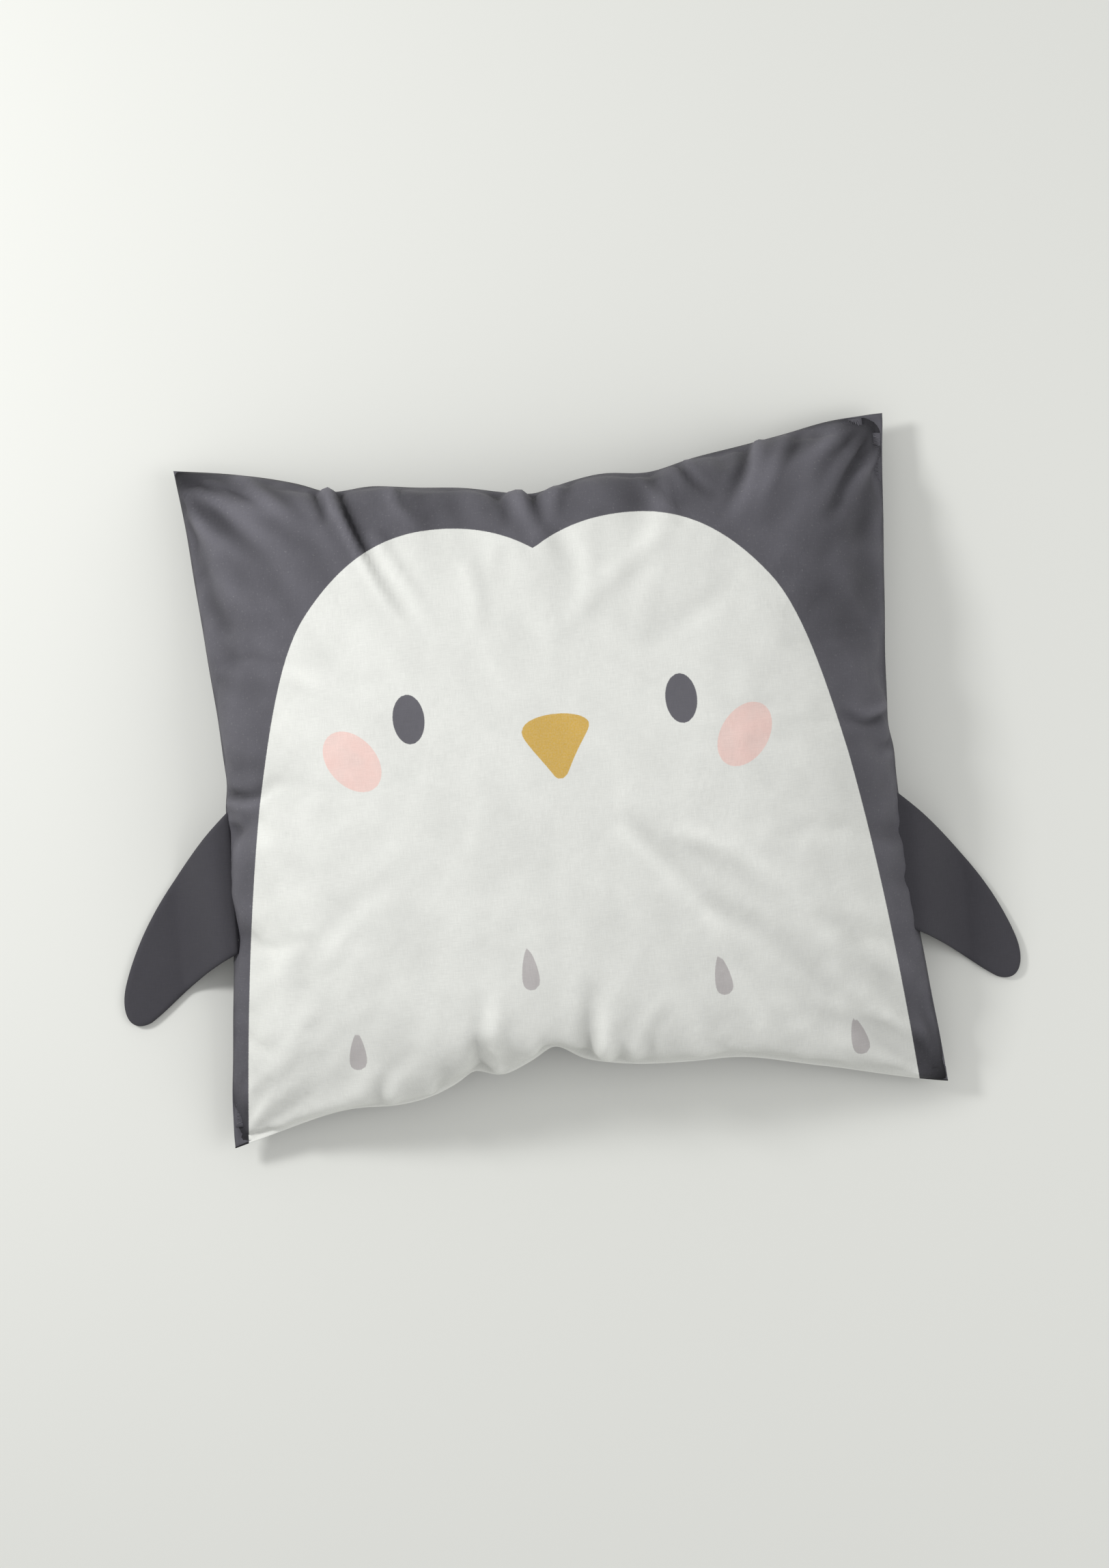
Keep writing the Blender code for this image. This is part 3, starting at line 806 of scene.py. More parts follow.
def make_fold_group():
    """Small crumples that are too fine for the mesh: soft broken ridges, as a height."""
    sockets = [("Place", "NodeSocketVector", None)]
    group = new_group("cotton_crumple", sockets, [("Height", "NodeSocketFloat")])
    w = Wiring(group)
    inputs = w.node("NodeGroupInput").outputs
    outputs = w.node("NodeGroupOutput")
    place = inputs["Place"]
    broad = w.sum("ABSOLUTE", w.sum("SUBTRACT", w.noise(place, 30.0, 2.0, 0.45), 0.5))
    fine = w.sum("ABSOLUTE", w.sum("SUBTRACT", w.noise(w.stretched(place, (95.0, 62.0, 1.0)), 1.0, 2.0), 0.5))
    patchy = w.ramp(w.noise(place, 11.0, 1.0), 0.42, 0.62, 0.12, 1.0)
    ridges = w.sum("MULTIPLY_ADD", fine, -0.45, w.sum("MULTIPLY", broad, -1.0))
    w.plug(outputs.inputs["Height"], w.sum("MULTIPLY", ridges, patchy))
    return group


WEAVE = make_weave_group()
CRUMPLE = make_fold_group()


def cloth_place(w):
    return w.node("ShaderNodeUVMap", uv_map="cloth").outputs[0]


def finish_cloth(material, w, base, place, pitch, mottle, crumple_mm, sheen):
    """Joins woven colour, roughness and relief to the material's own shader. crumple_mm may be a socket."""
    shader = material.node_tree.nodes["Principled BSDF"]
    weave = w.node("ShaderNodeGroup", node_tree=WEAVE)
    w.plug(weave.inputs["Place"], place)
    w.plug(weave.inputs["Color"], base)
    w.plug(weave.inputs["Pitch"], pitch)
    w.plug(weave.inputs["Mottle"], mottle)
    w.plug(shader.inputs["Base Color"], weave.outputs["Color"])
    w.plug(shader.inputs["Roughness"], weave.outputs["Roughness"])
    shader.inputs["Specular IOR Level"].default_value = 0.25
    shader.inputs["Sheen Weight"].default_value = sheen
    shader.inputs["Sheen Roughness"].default_value = 0.4
    folds = w.node("ShaderNodeGroup", node_tree=CRUMPLE)
    w.plug(folds.inputs["Place"], place)
    crumpled = w.sum("MULTIPLY", folds.outputs["Height"], crumple_mm)
    relief = w.sum("MULTIPLY_ADD", weave.outputs["Height"], WEAVE_RELIEF_MM, crumpled)
    bump = w.node("ShaderNodeBump")
    bump.inputs["Strength"].default_value = 1.0
    bump.inputs["Distance"].default_value = 0.001
    w.plug(bump.inputs["Height"], relief)
    w.plug(shader.inputs["Normal"], bump.outputs[0])
    return material


def start_material(name):
    material = bpy.data.materials.new(name)
    material.use_nodes = True
    return material, Wiring(material.node_tree)


def plain_cotton(name, base, pitch=THREAD_PITCH, mottle=0.12, crumple_mm=1.6, sheen=0.08):
    material, w = start_material(name)
    return finish_cloth(material, w, base, cloth_place(w), pitch, mottle, crumple_mm, sheen)


CHARCOAL = colour(94, 93, 99)
OFF_WHITE = colour(232, 233, 228)
EYE_INK = colour(104, 103, 109)
CHEEK_INK = colour(241, 210, 202)
BEAK_INK = colour(212, 173, 80)
MARK_INK = colour(192, 188, 187)
FLIPPER_GREY = colour(69, 68, 73)


def printed_cotton():
    """Off-white cotton with the penguin printed on it. Each ink reads how far inside its edge it is. Fold
    valleys, the charcoal's seam edges and its corners are darkened as painted shade; fold ridges and the
    rolled lip are lightened as a painted highlight.
    """
    material, w = start_material("printed_cotton")
    place = cloth_place(w)
    bleed = w.sum("MULTIPLY", w.sum("SUBTRACT", w.noise(place, 900.0, 1.0), 0.5), 0.0005)

    def inside(name):
        return w.ramp(w.sum("ADD", w.attribute(name), bleed), -HALF_EDGE, HALF_EDGE)

    ground = w.mix(inside("face_edge"), CHARCOAL, OFF_WHITE)
    worn = w.ramp(w.noise(place, 420.0, 3.0, 0.7), 0.60, 0.74, 0.0, 0.10)
    speckled = w.mix(w.sum("MULTIPLY", worn, w.sum("SUBTRACT", 1.0, inside("face_edge"))), ground, OFF_WHITE)
    picture = w.mix(inside("eye_edge"), speckled, EYE_INK)
    patchy = w.ramp(w.noise(place, 55.0, 2.0), 0.35, 0.65, 0.86, 1.0)
    picture = w.mix(w.sum("MULTIPLY", inside("cheek_edge"), patchy), picture, CHEEK_INK)
    grain = w.ramp(w.noise(place, 700.0, 2.0), 0.3, 0.7, 0.88, 1.0)
    picture = w.mix(w.sum("MULTIPLY", inside("beak_edge"), grain), picture, BEAK_INK)
    picture = w.mix(inside("mark_edge"), picture, MARK_INK)
    # Painted shade and highlight: on the charcoal, fold valleys are painted darker as shade, and fold ridges
    # lighter as a painted highlight and as ink worn off the ridges.
    relief = w.attribute("relief")
    painted_surround_shade_and_wear = w.ramp(relief, -0.0042, 0.0042, 0.46, 1.44)
    # Painted shade and highlight: on the off-white face, fold valleys are painted a little darker as shade
    # and fold ridges a little lighter.
    painted_face_shade_and_highlight = w.ramp(relief, -0.0036, 0.0036, 0.80, 1.07)
    # Painted shade: the charcoal is darkened within a few millimetres of the seams.
    seam = w.attribute("seam_distance")
    painted_surround_shade_and_wear = w.sum("MULTIPLY", painted_surround_shade_and_wear, w.ramp(seam, 0.0004, 0.0045, 0.70, 1.0))
    # Painted shade: the charcoal is darkened towards each corner of the case, down to about a sixth of its
    # tone at the tip.
    corner = w.attribute("corner_distance")
    painted_surround_shade_and_wear = w.sum("MULTIPLY", painted_surround_shade_and_wear, w.ramp(corner, 0.004, 0.060, 0.17, 1.0))
    # Painted highlight: the face's cloth is lightened next to the seams, which on the face is the rolled lip
    # at the mouth.
    painted_face_shade_and_highlight = w.sum("MULTIPLY", painted_face_shade_and_highlight, w.ramp(seam, 0.0, 0.0035, 1.10, 1.0))
    # The painted shade and highlight of the face and of the charcoal are multiplied into the printed colours.
    level = w.sum("MULTIPLY_ADD", inside("face_edge"), w.sum("SUBTRACT", painted_face_shade_and_highlight, painted_surround_shade_and_wear), painted_surround_shade_and_wear)
    picture = w.mix(1.0, picture, w.grey(level), "MULTIPLY")
    crumple_mm = w.ramp(inside("face_edge"), 0, 1, 3.4, 1.7)
    return finish_cloth(material, w, picture, place, THREAD_PITCH, 0.12, crumple_mm, 0.06)


# ---- The case ----

# How far from a seam the creases and the crumples have their full depth, and the share of its height above
# the seams to which the front may be pressed in.
CREASES_START = 0.009
CRUMPLES_START = 0.014
DEEPEST_SHARE = 0.5


def lift_mouth(front, back):
    """Parts the panels at the mouth: the front's edge rises a little and the back's edge falls behind it."""
    t = np.linspace(-1, 1, front.shape[0])
    open_share = np.clip(1.0 - np.abs(t) ** 6, 0.0, 1.0)
    wavy = 0.5 + 0.5 * np.sin(t * 9.0 + 0.6) * np.cos(t * 4.0)
    rows = np.arange(front.shape[1])
    fade = np.clip(1.0 - rows * (CASE_LENGTH / CELLS) / 0.030, 0.0, 1.0) ** 2
    lift = (0.0012 + 0.0020 * wavy)[:, None] * open_share[:, None] * fade[None, :]
    front[..., 2] += lift
    front[..., 1] -= 0.3 * lift
    drop = (0.0018 + 0.0030 * (1.0 - wavy))[:, None] * open_share[:, None] * fade[None, :]
    back[..., 2] -= drop
    back[..., 1] += 0.8 * drop


def rolled_lip(front, flat):
    """Adds rows at the mouth where the front's cloth folds under itself."""
    edge = front[:, 0]
    outward = edge - front[:, 1]
    outward[:, 2] *= 0.3
    outward = unit(outward)
    radius = 0.0011
    rows = []
    cuts = []
    for angle in np.radians([36, 72, 108, 144, 180]):
        rows.append(edge + radius * (outward * math.sin(angle) - UP * (1 - math.cos(angle))))
        cuts.append(flat[:, 0] - (0, radius * angle))
    for inward in (0.003, 0.007, 0.012):
        rows.append(edge - UP * (2 * radius) - outward * inward)
        cuts.append(flat[:, 0] - (0, radius * math.pi + inward))
    extra = np.stack(rows[::-1], axis=1)
    extra_flat = np.stack(cuts[::-1], axis=1)
    return np.concatenate([extra, front], axis=1), np.concatenate([extra_flat, flat], axis=1)


rim_grid = front_grid.copy()
lift_mouth(front_grid, back_grid)


def press_creases(piece):
    """Creases and crumples the front, and returns how far each point was pressed in or raised."""
    smooth = points_of(piece)
    outward = normals_of(piece)
    edge = from_seams(piece)
    places = lay_creases(smooth, outward, np.clip(edge / CREASES_START, 0.0, 1.0))
    move_points(piece, places)
    places = crumple(places, normals_of(piece), np.clip(edge / CRUMPLES_START, 0.0, 1.0))
    flat = cloth_places(piece)
    room = smooth[:, 2] - seam_height(flat[:, 0] / CASE_WIDTH * 2, flat[:, 1] / CASE_LENGTH * 2)
    pressed = ((places - smooth) * outward).sum(1)
    deepest = -DEEPEST_SHARE * np.maximum(room, 0.0)
    places += outward * np.maximum(deepest - pressed, 0.0)[:, None]
    fade = np.exp(-edge / 0.007) * np.clip(edge / 0.003, 0.0, 1.0)
    puckers = 0.0007 * smooth_noise(places, 0.008, 5) * fade
    places += outward * puckers[:, None]
    move_points(piece, places)
    return np.maximum(pressed, deepest)


def make_case_front():
    grid, flat = rolled_lip(front_grid, flat_cloth)
    piece = sheet_object("case_front", grid, flat)
    relief = press_creases(piece)
    places = points_of(piece)
    towards_eye = (EYE_HEIGHT - SEAM_HEIGHT) / (EYE_HEIGHT - places[:, 2:])
    print_penguin(piece, places[:, :2] * towards_eye)
    # The relief and the distances from the seams and corners steer the painted shade and highlight of the
    # printed cotton.
    from_corner = np.array([CASE_WIDTH, CASE_LENGTH]) / 2 - np.abs(cloth_places(piece))
    set_values(piece, "relief", relief)
    set_values(piece, "seam_distance", from_seams(piece))
    set_values(piece, "corner_distance", np.hypot(from_corner[:, 0], from_corner[:, 1]))
    thicken(piece, CLOTH_THICKNESS)
    printed = [node for node in frame["nodes"] if node.startswith("print_")]
    return dress(piece, printed_cotton(), "off_white_cotton", "case_front_panel", *printed)


def make_case_back():
    piece = sheet_object("case_back", back_grid, flat_cloth, flip=True)
    places = points_of(piece)
    normals = normals_of(piece)
    calm = np.clip(places[:, 2] / 0.012, 0.0, 1.0) * np.clip(from_seams(piece) / CRUMPLES_START, 0.0, 1.0)
    move_points(piece, crumple(places, normals, calm * 0.8, seed=40))
    thicken(piece, CLOTH_THICKNESS)
    return dress(piece, plain_cotton("charcoal_cotton", CHARCOAL), "charcoal_cotton", "case_back_panel")


case_front = make_case_front()
case_back = make_case_back()


# ---- Inside the case: the insert, the seams, the hem and the tucked flap ----


def on_panel(grid, u, v):
    """Places on a panel at values from -1 to 1 across and along it."""
    x = np.clip((np.asarray(u, float) + 1.0) / 2.0 * CELLS, 0, CELLS - 1e-6)
    y = np.clip((np.asarray(v, float) + 1.0) / 2.0 * CELLS, 0, CELLS - 1e-6)
    i = x.astype(int)
    j = y.astype(int)
    a = (x - i)[..., None]
    b = (y - j)[..., None]
    near = grid[i, j] * (1 - a) + grid[i + 1, j] * a
    far = grid[i, j + 1] * (1 - a) + grid[i + 1, j + 1] * a
    return near * (1 - b) + far * b


def rim_line(side, ends):
    """Places along one seam of the case, and the level way inwards from each."""
    fixed = np.full_like(ends, -1.0 if side in ("left", "bottom") else 1.0)
    if side in ("left", "right"):
        line = on_panel(rim_grid, fixed, ends)
    else:
        line = on_panel(rim_grid, ends, fixed)
    ahead = np.gradient(line, axis=0)
    turn = {"left": 1.0, "right": -1.0, "bottom": -1.0, "top": 1.0}[side]
    return line, turn * unit(np.stack([ahead[:, 1], -ahead[:, 0], np.zeros(len(ends))], -1))


def inside_rim(side, ends, steps_mm):
    """A strip of places inside one seam: each step is how far inwards and how far up, in millimetres."""
    line, inward = rim_line(side, ends)
    rows = []
    for inward_mm, up_mm in steps_mm:
        rows.append(line + inward * (inward_mm / 1000.0) + UP * (up_mm / 1000.0))
    return np.stack(rows, axis=1)


def insert_layer(grid, across_share, height_share, count):
    """One face of the insert: the case's own shape, smaller across and in height."""
    t = np.linspace(-1.0, 1.0, count)
    s, q = np.meshgrid(t, t, indexing="ij")
    layer = on_panel(grid, s, q)
    seam = seam_height(s, q)
    layer[..., :2] *= across_share
    layer[..., 2] = seam + (layer[..., 2] - seam) * height_share
    return layer, np.stack([s, q], -1) * across_share * CASE_WIDTH / 2


def merge_points(piece, distance=1e-5):
    made = bmesh.new()
    made.from_mesh(piece.data)
    bmesh.ops.remove_doubles(made, verts=made.verts, dist=distance)
    made.to_mesh(piece.data)
    made.free()
    piece.data.update()


def make_insert():
    count = CELLS * 3 // 4 + 1
    ticking = plain_cotton("insert_ticking", colour(238, 238, 235), pitch=0.0006, crumple_mm=1.0)
    front, flat = insert_layer(front_grid, 0.94, 0.90, count)
    back, _ = insert_layer(back_grid, 0.94, 0.80, count)
    front_piece = sheet_object("insert_front", front, flat, thickness=0.0006)
    back_piece = sheet_object("insert_back", back, flat, flip=True, thickness=0.0006)
    dress(front_piece, ticking, "ticking", "insert_front_ticking")
    dress(back_piece, ticking, "ticking", "insert_back_ticking")

    count = CELLS // 2 + 1
    upper, flat = insert_layer(front_grid, 0.915, 0.86, count)
    lower, _ = insert_layer(back_grid, 0.915, 0.72, count)
    mesh = bpy.data.meshes.new("fibre_fill")
    faces = grid_faces(count, count) + grid_faces(count, count, count * count, True)
    mesh.from_pydata(np.concatenate([upper.reshape(-1, 3), lower.reshape(-1, 3)]).tolist(), [], faces)
    mesh.shade_smooth()
    fill = link("fibre_fill", mesh)
    merge_points(fill)
    places = points_of(fill)
    move_points(fill, places + normals_of(fill) * (0.0008 * smooth_noise(places, 0.012, 9))[:, None])
    dress(fill, fibre_material(), "polyester_fibre", "insert_fill")
    make_insert_welts(front, ticking)


def make_insert_welts(front, ticking):
    """The insert's sewn edges: a narrow double strip that stands out along each side, a little wavy."""
    edges = {
        "left": (front[0], front[1]),
        "right": (front[-1], front[-2]),
        "bottom": (front[:, 0], front[:, 1]),
        "top": (front[:, -1], front[:, -2]),
    }
    for side, (edge, inner) in edges.items():
        trim = max(2, len(edge) // 30)
        edge, inner = edge[trim:-trim], inner[trim:-trim]
        outward = unit((edge - inner) * (1.0, 1.0, 0.0))
        wave = 0.0006 * np.sin(np.arange(len(edge)) * 1.1)[:, None] * UP
        rows = [edge - 0.002 * outward, edge + 0.0015 * outward + wave, edge + 0.0045 * outward - wave]
        piece = sheet_object(f"insert_welt_{side}", np.stack(rows, 1))
        thicken(piece, 0.0012, 0.0)
        dress(piece, ticking, "ticking", f"insert_seam_{side}")


def tube(name, path, radius, sides):
    """A round thread along a path."""
    path = np.asarray(path, float)
    ahead = unit(np.gradient(path, axis=0))
    across = unit(np.cross(ahead, UP + 0.01 * ahead))
    over = np.cross(across, ahead)
    rings = []
    for k in range(sides):
        turn = 2 * math.pi * k / sides
        rings.append(path + radius * (across * math.cos(turn) + over * math.sin(turn)))
    grid = np.stack(rings + rings[:1], axis=1)
    mesh = bpy.data.meshes.new(name)
    faces = grid_faces(len(path), sides + 1)
    mesh.from_pydata(grid.reshape(-1, 3).tolist(), [], faces)
    mesh.shade_smooth()
    piece = link(name, mesh)
    merge_points(piece, 1e-6)
    return piece


def stitch_row(name, path, length, pitch, radius, lift):
    """Separate stitches along a path: each one rises from the cloth, runs along it and goes back in."""
    reach = reach_along(path)
    places = []
    faces = []
    for start in np.arange(0.003, reach[-1] - 0.003 - length, pitch):
        t = np.linspace(start, start + length, 6)
        line = np.stack([np.interp(t, reach, path[:, k]) for k in range(3)], -1)
        arch = np.sin(np.linspace(0.0, math.pi, 6)) ** 0.5
        line = line + lift * (arch - 0.45)[:, None]
        ahead = unit(line[-1] - line[0])
        across = unit(np.cross(ahead, lift))
        over = np.cross(across, ahead)
        first = len(places)
        for point in line:
            for k in range(6):
                turn = math.pi * k / 3
                places.append(point + radius * (across * math.cos(turn) + over * math.sin(turn)))
        for i in range(5):
            for k in range(6):
                a = first + i * 6 + k
                b = first + i * 6 + (k + 1) % 6
                faces.append((a, a + 6, b + 6, b))
        faces.append(tuple(first + k for k in range(6)))
        faces.append(tuple(first + 30 + k for k in range(5, -1, -1)))
    mesh = bpy.data.meshes.new(name)
    mesh.from_pydata([tuple(p) for p in places], [], faces)
    mesh.shade_smooth()
    return link(name, mesh)


def make_case_seams(thread):
    cotton = plain_cotton("seam_cotton", CHARCOAL)
    for side in ("left", "right", "top"):
        ends = np.linspace(-0.94, 0.94, CELLS + 1)
        strip = inside_rim(side, ends, ((1.4, 0), (4.0, 0), (6.5, 0), (9.0, 0)))
        strip[:, 1:, 2] += (0.0005 * np.sin(np.arange(CELLS + 1) * 0.9))[:, None]
        piece = sheet_object(f"case_allowance_{side}", strip)
        thicken(piece, 0.0011, 0.0)
        dress(piece, cotton, "charcoal_cotton", f"seam_allowance_{side}")
        lines = inside_rim(side, np.linspace(-0.93, 0.93, 4 * CELLS), ((3.0, 1.1), (8.2, 1.1)))
        zigzag = lines[:, 0].copy()
        zigzag[1::2] = lines[1::2, 1]
        overlock = tube(f"overlock_{side}", zigzag, 0.0003, 5)
        dress(overlock, thread, "sewing_thread", f"seam_thread_{side}")


# Each step round the hem is how far in from the mouth and how far off the back panel, in millimetres.
HEM_FOLD_MM = (
    (-0.3, 0.2), (-0.7, 0.9), (-0.2, 1.6), (4, 1.7), (9, 1.7), (14, 1.7), (19, 1.6), (21, 1.2),
)


def make_hem(thread):
    """The back panel's mouth edge, folded in once and stitched down."""
    ends = np.linspace(-0.93, 0.93, CELLS + 1)
    inward = grid_normals(back_grid)
    rows = []
    for depth_mm, rise_mm in HEM_FOLD_MM:
        v = -1.0 + depth_mm / 1000.0 / (CASE_LENGTH / 2)
        place = on_panel(back_grid, ends, np.full_like(ends, v))
        lean = on_panel(inward, ends, np.full_like(ends, v))
        outward = min(depth_mm, 0.0) / 1000.0
        rows.append(place + lean * (rise_mm / 1000.0) + np.array([0.0, outward, 0.0]))
    piece = sheet_object("mouth_hem_fold", np.stack(rows, axis=1), flip=True)
    thicken(piece, 0.0006, 0.0)
    dress(piece, plain_cotton("hem_cotton", CHARCOAL), "charcoal_cotton", "mouth_hem")
    v = np.full(4 * CELLS, -1.0 + 0.019 / (CASE_LENGTH / 2))
    line = on_panel(back_grid, np.linspace(-0.95, 0.95, 4 * CELLS), v)
    stitches = stitch_row("hem_stitches", line, 0.0024, 0.0033, 0.00028, np.array([0.0, 0.0, -0.00045]))
    dress(stitches, thread, "sewing_thread")


def make_flap():
    """The front panel's cloth beyond the mouth, folded in under the insert to hold it."""
    ends = np.linspace(-0.91, 0.91, CELLS + 1)
    inward = grid_normals(back_grid)
    rows = []
    cuts = []
    lip = on_panel(front_grid, ends, np.full_like(ends, -1.0))
    for step in range(40):
        depth = 0.002 + 0.0046 * step
        v = np.full_like(ends, -1.0 + depth / (CASE_LENGTH / 2))
        lean = on_panel(inward, ends, v)
        low = on_panel(back_grid, ends, v) + lean * 0.0042
        high = lip + np.array([0.0, depth, -0.0034])
        settle = min(1.0, step / 7.0)
        settle = settle * settle * (3.0 - 2.0 * settle)
        ripple = 0.0006 * np.sin(ends * 23.0 + 0.4 * step) * settle
        rows.append(high * (1 - settle) + low * settle + lean * np.abs(ripple)[:, None])
        cuts.append(np.stack([ends * CASE_WIDTH / 2, np.full_like(ends, -CASE_LENGTH / 2 - depth)], -1))
    flap = sheet_object("flap_cloth", np.stack(rows, 1), np.stack(cuts, 1))
    thicken(flap, 0.0006, 0.0)
    dress(flap, plain_cotton("flap_cotton", OFF_WHITE), "off_white_cotton", "tuck_in_flap")


# Each step round the label's loop is how far in from the seam and how far up, in millimetres.
LABEL_LOOP_MM = (
    (3, 0.9), (6, 1.2), (10, 1.3), (12.5, 1.4), (13.6, 1.7), (13.8, 2.0), (13.4, 2.3), (11, 2.4), (7, 2.1),
    (3, 1.4),
)


def make_label():
    """A blank care label: a folded loop of tape caught in the left seam beside the mouth."""
    grid = inside_rim("left", np.linspace(-0.80, -0.67, 12), LABEL_LOOP_MM)
    label = sheet_object("label_loop", grid)
    thicken(label, 0.0003, 0.0)
    tape = plain_cotton("label_tape", colour(240, 240, 238), pitch=0.0003, crumple_mm=0.2)
    dress(label, tape, "label_tape", "care_label")


def fibre_material():
    """Loose white fibre: short strands in every direction, soft and bright."""
    material, w = start_material("loose_fibre")
    shader = material.node_tree.nodes["Principled BSDF"]
    place = w.node("ShaderNodeTexCoord").outputs["Object"]
    strands = w.noise(w.stretched(place, (900.0, 160.0, 400.0)), 1.0, 4.0, 0.7)
    tufts = w.noise(place, 60.0, 3.0)
    w.plug(shader.inputs["Base Color"], w.mix(tufts, colour(238, 238, 235), colour(250, 250, 248)))
    shader.inputs["Roughness"].default_value = 0.95
    shader.inputs["Sheen Weight"].default_value = 0.3
    bump = w.node("ShaderNodeBump")
    bump.inputs["Strength"].default_value = 0.6
    bump.inputs["Distance"].default_value = 0.002
    w.plug(bump.inputs["Height"], w.sum("ADD", strands, tufts))
    w.plug(shader.inputs["Normal"], bump.outputs[0])
    return material


def thread_material():
    material, w = start_material("sewing_thread")
    shader = material.node_tree.nodes["Principled BSDF"]
    shader.inputs["Base Color"].default_value = colour(118, 117, 123)
    shader.inputs["Roughness"].default_value = 0.7
    shader.inputs["Sheen Weight"].default_value = 0.2
    return material


# ---- The flippers ----

# Where a flipper's root is on its seam, how far out it has come down to the surface, and half its thickness.
# The right flipper is sewn on a little lower than the left one.
FLIPPER_ROOT = 0.2985
FLIPPER_ROOT_HEIGHT = 0.040
FLIPPER_DROOP = 0.048
FLIPPER_HALF_THICKNESS = 0.0026
RIGHT_FLIPPER_SHIFT = (-0.010, -0.0265)


def flipper_edges():
    """The upper and lower edges from the root to the tip, for the right side, in metres."""
    upper = curve_stretch((28.6, 0), (33.6, -4.3), (37.6, -9), (39.5, -14.6), 60)
    tip = curve_stretch((39.5, -14.6), (40.3, -17), (39.6, -19), (37.6, -18.15), 40)
    lower = curve_stretch((37.6, -18.15), (35.5, -16.9), (33.5, -14.4), (29, -12.6), 60)
    last = np.array([[29.0, -12.6]])
    line = np.concatenate([upper, tip, lower, last]) / 100.0
    far = 60 + 21
    return line[: far + 1], line[far:][::-1]


def along_line(line, shares):
    """Places at the given shares of a line's length."""
    reach = reach_along(line)
    return np.stack([np.interp(shares * reach[-1], reach, line[:, k]) for k in range(2)], -1)


def flipper_shape(inset, half_thickness, rounding, columns=40, rows=64):
    """Plan places and half thickness of a flipper on a grid from root to tip and from edge to edge."""
    upper, lower = flipper_edges()
    outline = np.concatenate([upper, lower[::-1][1:]])
    s = np.sin(np.linspace(0.0, math.pi / 2, rows))
    t = (1 - np.cos(np.linspace(0.0, math.pi, columns))) / 2
    top = along_line(upper, s)
    bottom = along_line(lower, s)
    plan = top[:, None] * (1 - t)[None, :, None] + bottom[:, None] * t[None, :, None]
    middle = outline.mean(0)
    plan = middle + (plan - middle) * (1.0 - inset)
    around = middle + (outline - middle) * (1.0 - inset)
    depth = distance_inside(plan.reshape(-1, 2), around).reshape(plan.shape[:2])
    depth = np.maximum(depth, 0.0)
    depth[:, 0] = depth[:, -1] = 0.0
    depth[0] = depth[-1] = 0.0
    full = np.sqrt(1.0 - (1.0 - np.clip(depth / rounding, 0.0, 1.0)) ** 2)
    puff = 0.0006 * np.clip(depth / 0.03, 0.0, 1.0)
    return plan, full * (half_thickness + puff)


def flipper_height(x):
    """The height of the flipper's middle: at the seam, then down to the surface it rests on."""
    away = np.clip((np.abs(x) - FLIPPER_ROOT) / FLIPPER_DROOP, -0.3, 1.0)
    low = FLIPPER_HALF_THICKNESS + 0.0010
    fall = np.where(away > 0, 0.5 - 0.5 * np.cos(math.pi * away), 0.0)
    return FLIPPER_ROOT_HEIGHT + (low - FLIPPER_ROOT_HEIGHT) * fall


def flipper_piece(name, side, inset, half_thickness, rounding):
    plan, half = flipper_shape(inset, half_thickness, rounding)
    if side == "right":
        plan += RIGHT_FLIPPER_SHIFT
    else:
        plan[..., 0] *= -1.0
    rows, columns = half.shape
    middle = flipper_height(plan[..., 0])
    slope = np.gradient(flipper_height(np.abs(plan[..., 0])), axis=0) / np.maximum(
        np.abs(np.gradient(np.abs(plan[..., 0]), axis=0)), 1e-6
    )
    slope = np.clip(slope, -1.4, 0.0)
    lean = unit(np.stack([-slope * np.sign(plan[..., 0]), np.zeros_like(slope), np.ones_like(slope)], -1))
    centre = np.concatenate([plan, middle[..., None]], -1)
    upper = centre + lean * half[..., None]
    lower = centre - lean * half[..., None]
    flip = side == "left"
    mesh = bpy.data.meshes.new(name)
    faces = grid_faces(rows, columns, 0, not flip) + grid_faces(rows, columns, rows * columns, flip)
    places = np.concatenate([upper.reshape(-1, 3), lower.reshape(-1, 3)])
    mesh.from_pydata(places.tolist(), [], faces)
    add_cloth_map(mesh, np.concatenate([plan.reshape(-1, 2), plan.reshape(-1, 2) + (0.0, 1.0)]))
    mesh.shade_smooth()
    piece = link(name, mesh)
    merge_points(piece, 2e-6)
    return piece


def make_flipper(side, cotton, fibre):
    cover = flipper_piece(f"{side}_flipper_cover", side, 0.0, FLIPPER_HALF_THICKNESS, 0.0045)
    cover.data.materials.append(cotton)
    wadding = flipper_piece(f"{side}_flipper_padding", side, 0.06, FLIPPER_HALF_THICKNESS - 0.0010, 0.004)
    wadding.data.materials.append(fibre)
    root = f"flipper_{side}"
    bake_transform(cover)
    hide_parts(f"{root}_front_cloth", f"{root}_back_cloth", f"{root}_edge_seam")
    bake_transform(wadding)
    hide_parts(f"{root}_wadding")


sewing_thread = thread_material()
make_insert()
make_case_seams(sewing_thread)
make_hem(sewing_thread)
make_flap()
make_label()
flipper_cotton = plain_cotton("flipper_cotton", FLIPPER_GREY, crumple_mm=0.35, mottle=0.04, sheen=0.02)
padding = fibre_material()
make_flipper("left", flipper_cotton, padding)
make_flipper("right", flipper_cotton, padding)


# ---- Stage, light and camera ----


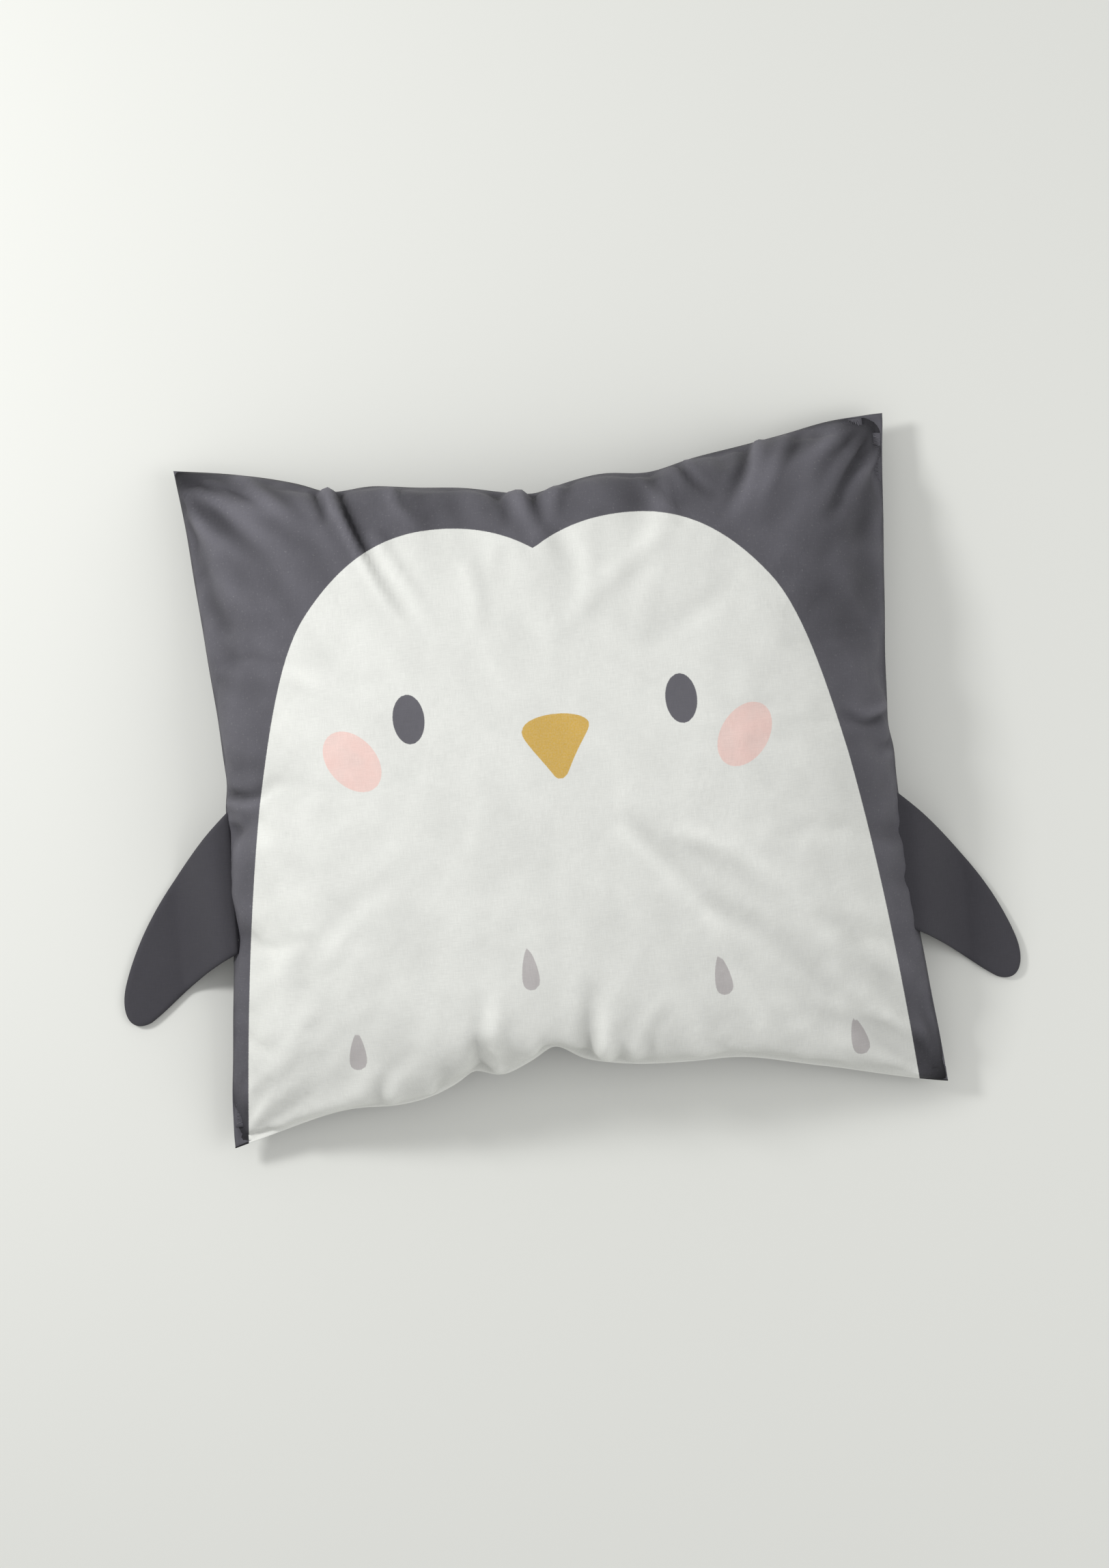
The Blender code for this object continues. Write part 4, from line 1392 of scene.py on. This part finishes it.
def add_floor():
    deselect_all()
    bpy.ops.mesh.primitive_plane_add(size=9.0, location=(0, 0, -0.0006))
    floor = bpy.context.object
    floor.name = "floor"
    material, w = start_material("pale_floor")
    shader = material.node_tree.nodes["Principled BSDF"]
    shader.inputs["Base Color"].default_value = colour(229, 230, 225)
    shader.inputs["Roughness"].default_value = 0.9
    shader.inputs["Specular IOR Level"].default_value = 0.1
    clear = w.node("ShaderNodeBsdfTransparent")
    choose = w.node("ShaderNodeMixShader")
    w.plug(choose.inputs[0], w.node("ShaderNodeNewGeometry").outputs["Backfacing"])
    w.plug(choose.inputs[1], shader.outputs[0])
    w.plug(choose.inputs[2], clear.outputs[0])
    w.plug(material.node_tree.nodes["Material Output"].inputs[0], choose.outputs[0])
    floor.data.materials.append(material)


def add_light(name, place, size, watts):
    lamp = bpy.data.lights.new(name, "AREA")
    lamp.energy = watts
    lamp.size = size
    lit = bpy.data.objects.new(name, lamp)
    lit.location = place
    lit.rotation_mode = "QUATERNION"
    lit.rotation_quaternion = (-Vector(place)).to_track_quat("-Z", "Y")
    bpy.context.scene.collection.objects.link(lit)


def add_camera():
    """Straight above, turned so that the cushion lies 5 degrees anticlockwise in the view."""
    lens = bpy.data.cameras.new("camera")
    lens.lens = 85.0
    camera = bpy.data.objects.new("camera", lens)
    camera.location = (-0.005, -0.005, EYE_HEIGHT)
    camera.rotation_euler = (0.0, 0.0, math.radians(-5.24))
    bpy.context.scene.collection.objects.link(camera)
    bpy.context.scene.camera = camera


def add_sky():
    sky = bpy.data.worlds.new("studio")
    sky.use_nodes = True
    sky.node_tree.nodes["Background"].inputs["Color"].default_value = (1.0, 1.0, 1.0, 1.0)
    sky.node_tree.nodes["Background"].inputs["Strength"].default_value = 0.55
    bpy.context.scene.world = sky


add_floor()
add_light("key", (-1.55, 0.85, 1.4), 0.42, 24.8)
add_light("fill", (1.5, -0.3, 1.7), 1.4, 11.3)
add_sky()
add_camera()
bpy.context.scene.view_settings.view_transform = "Standard"
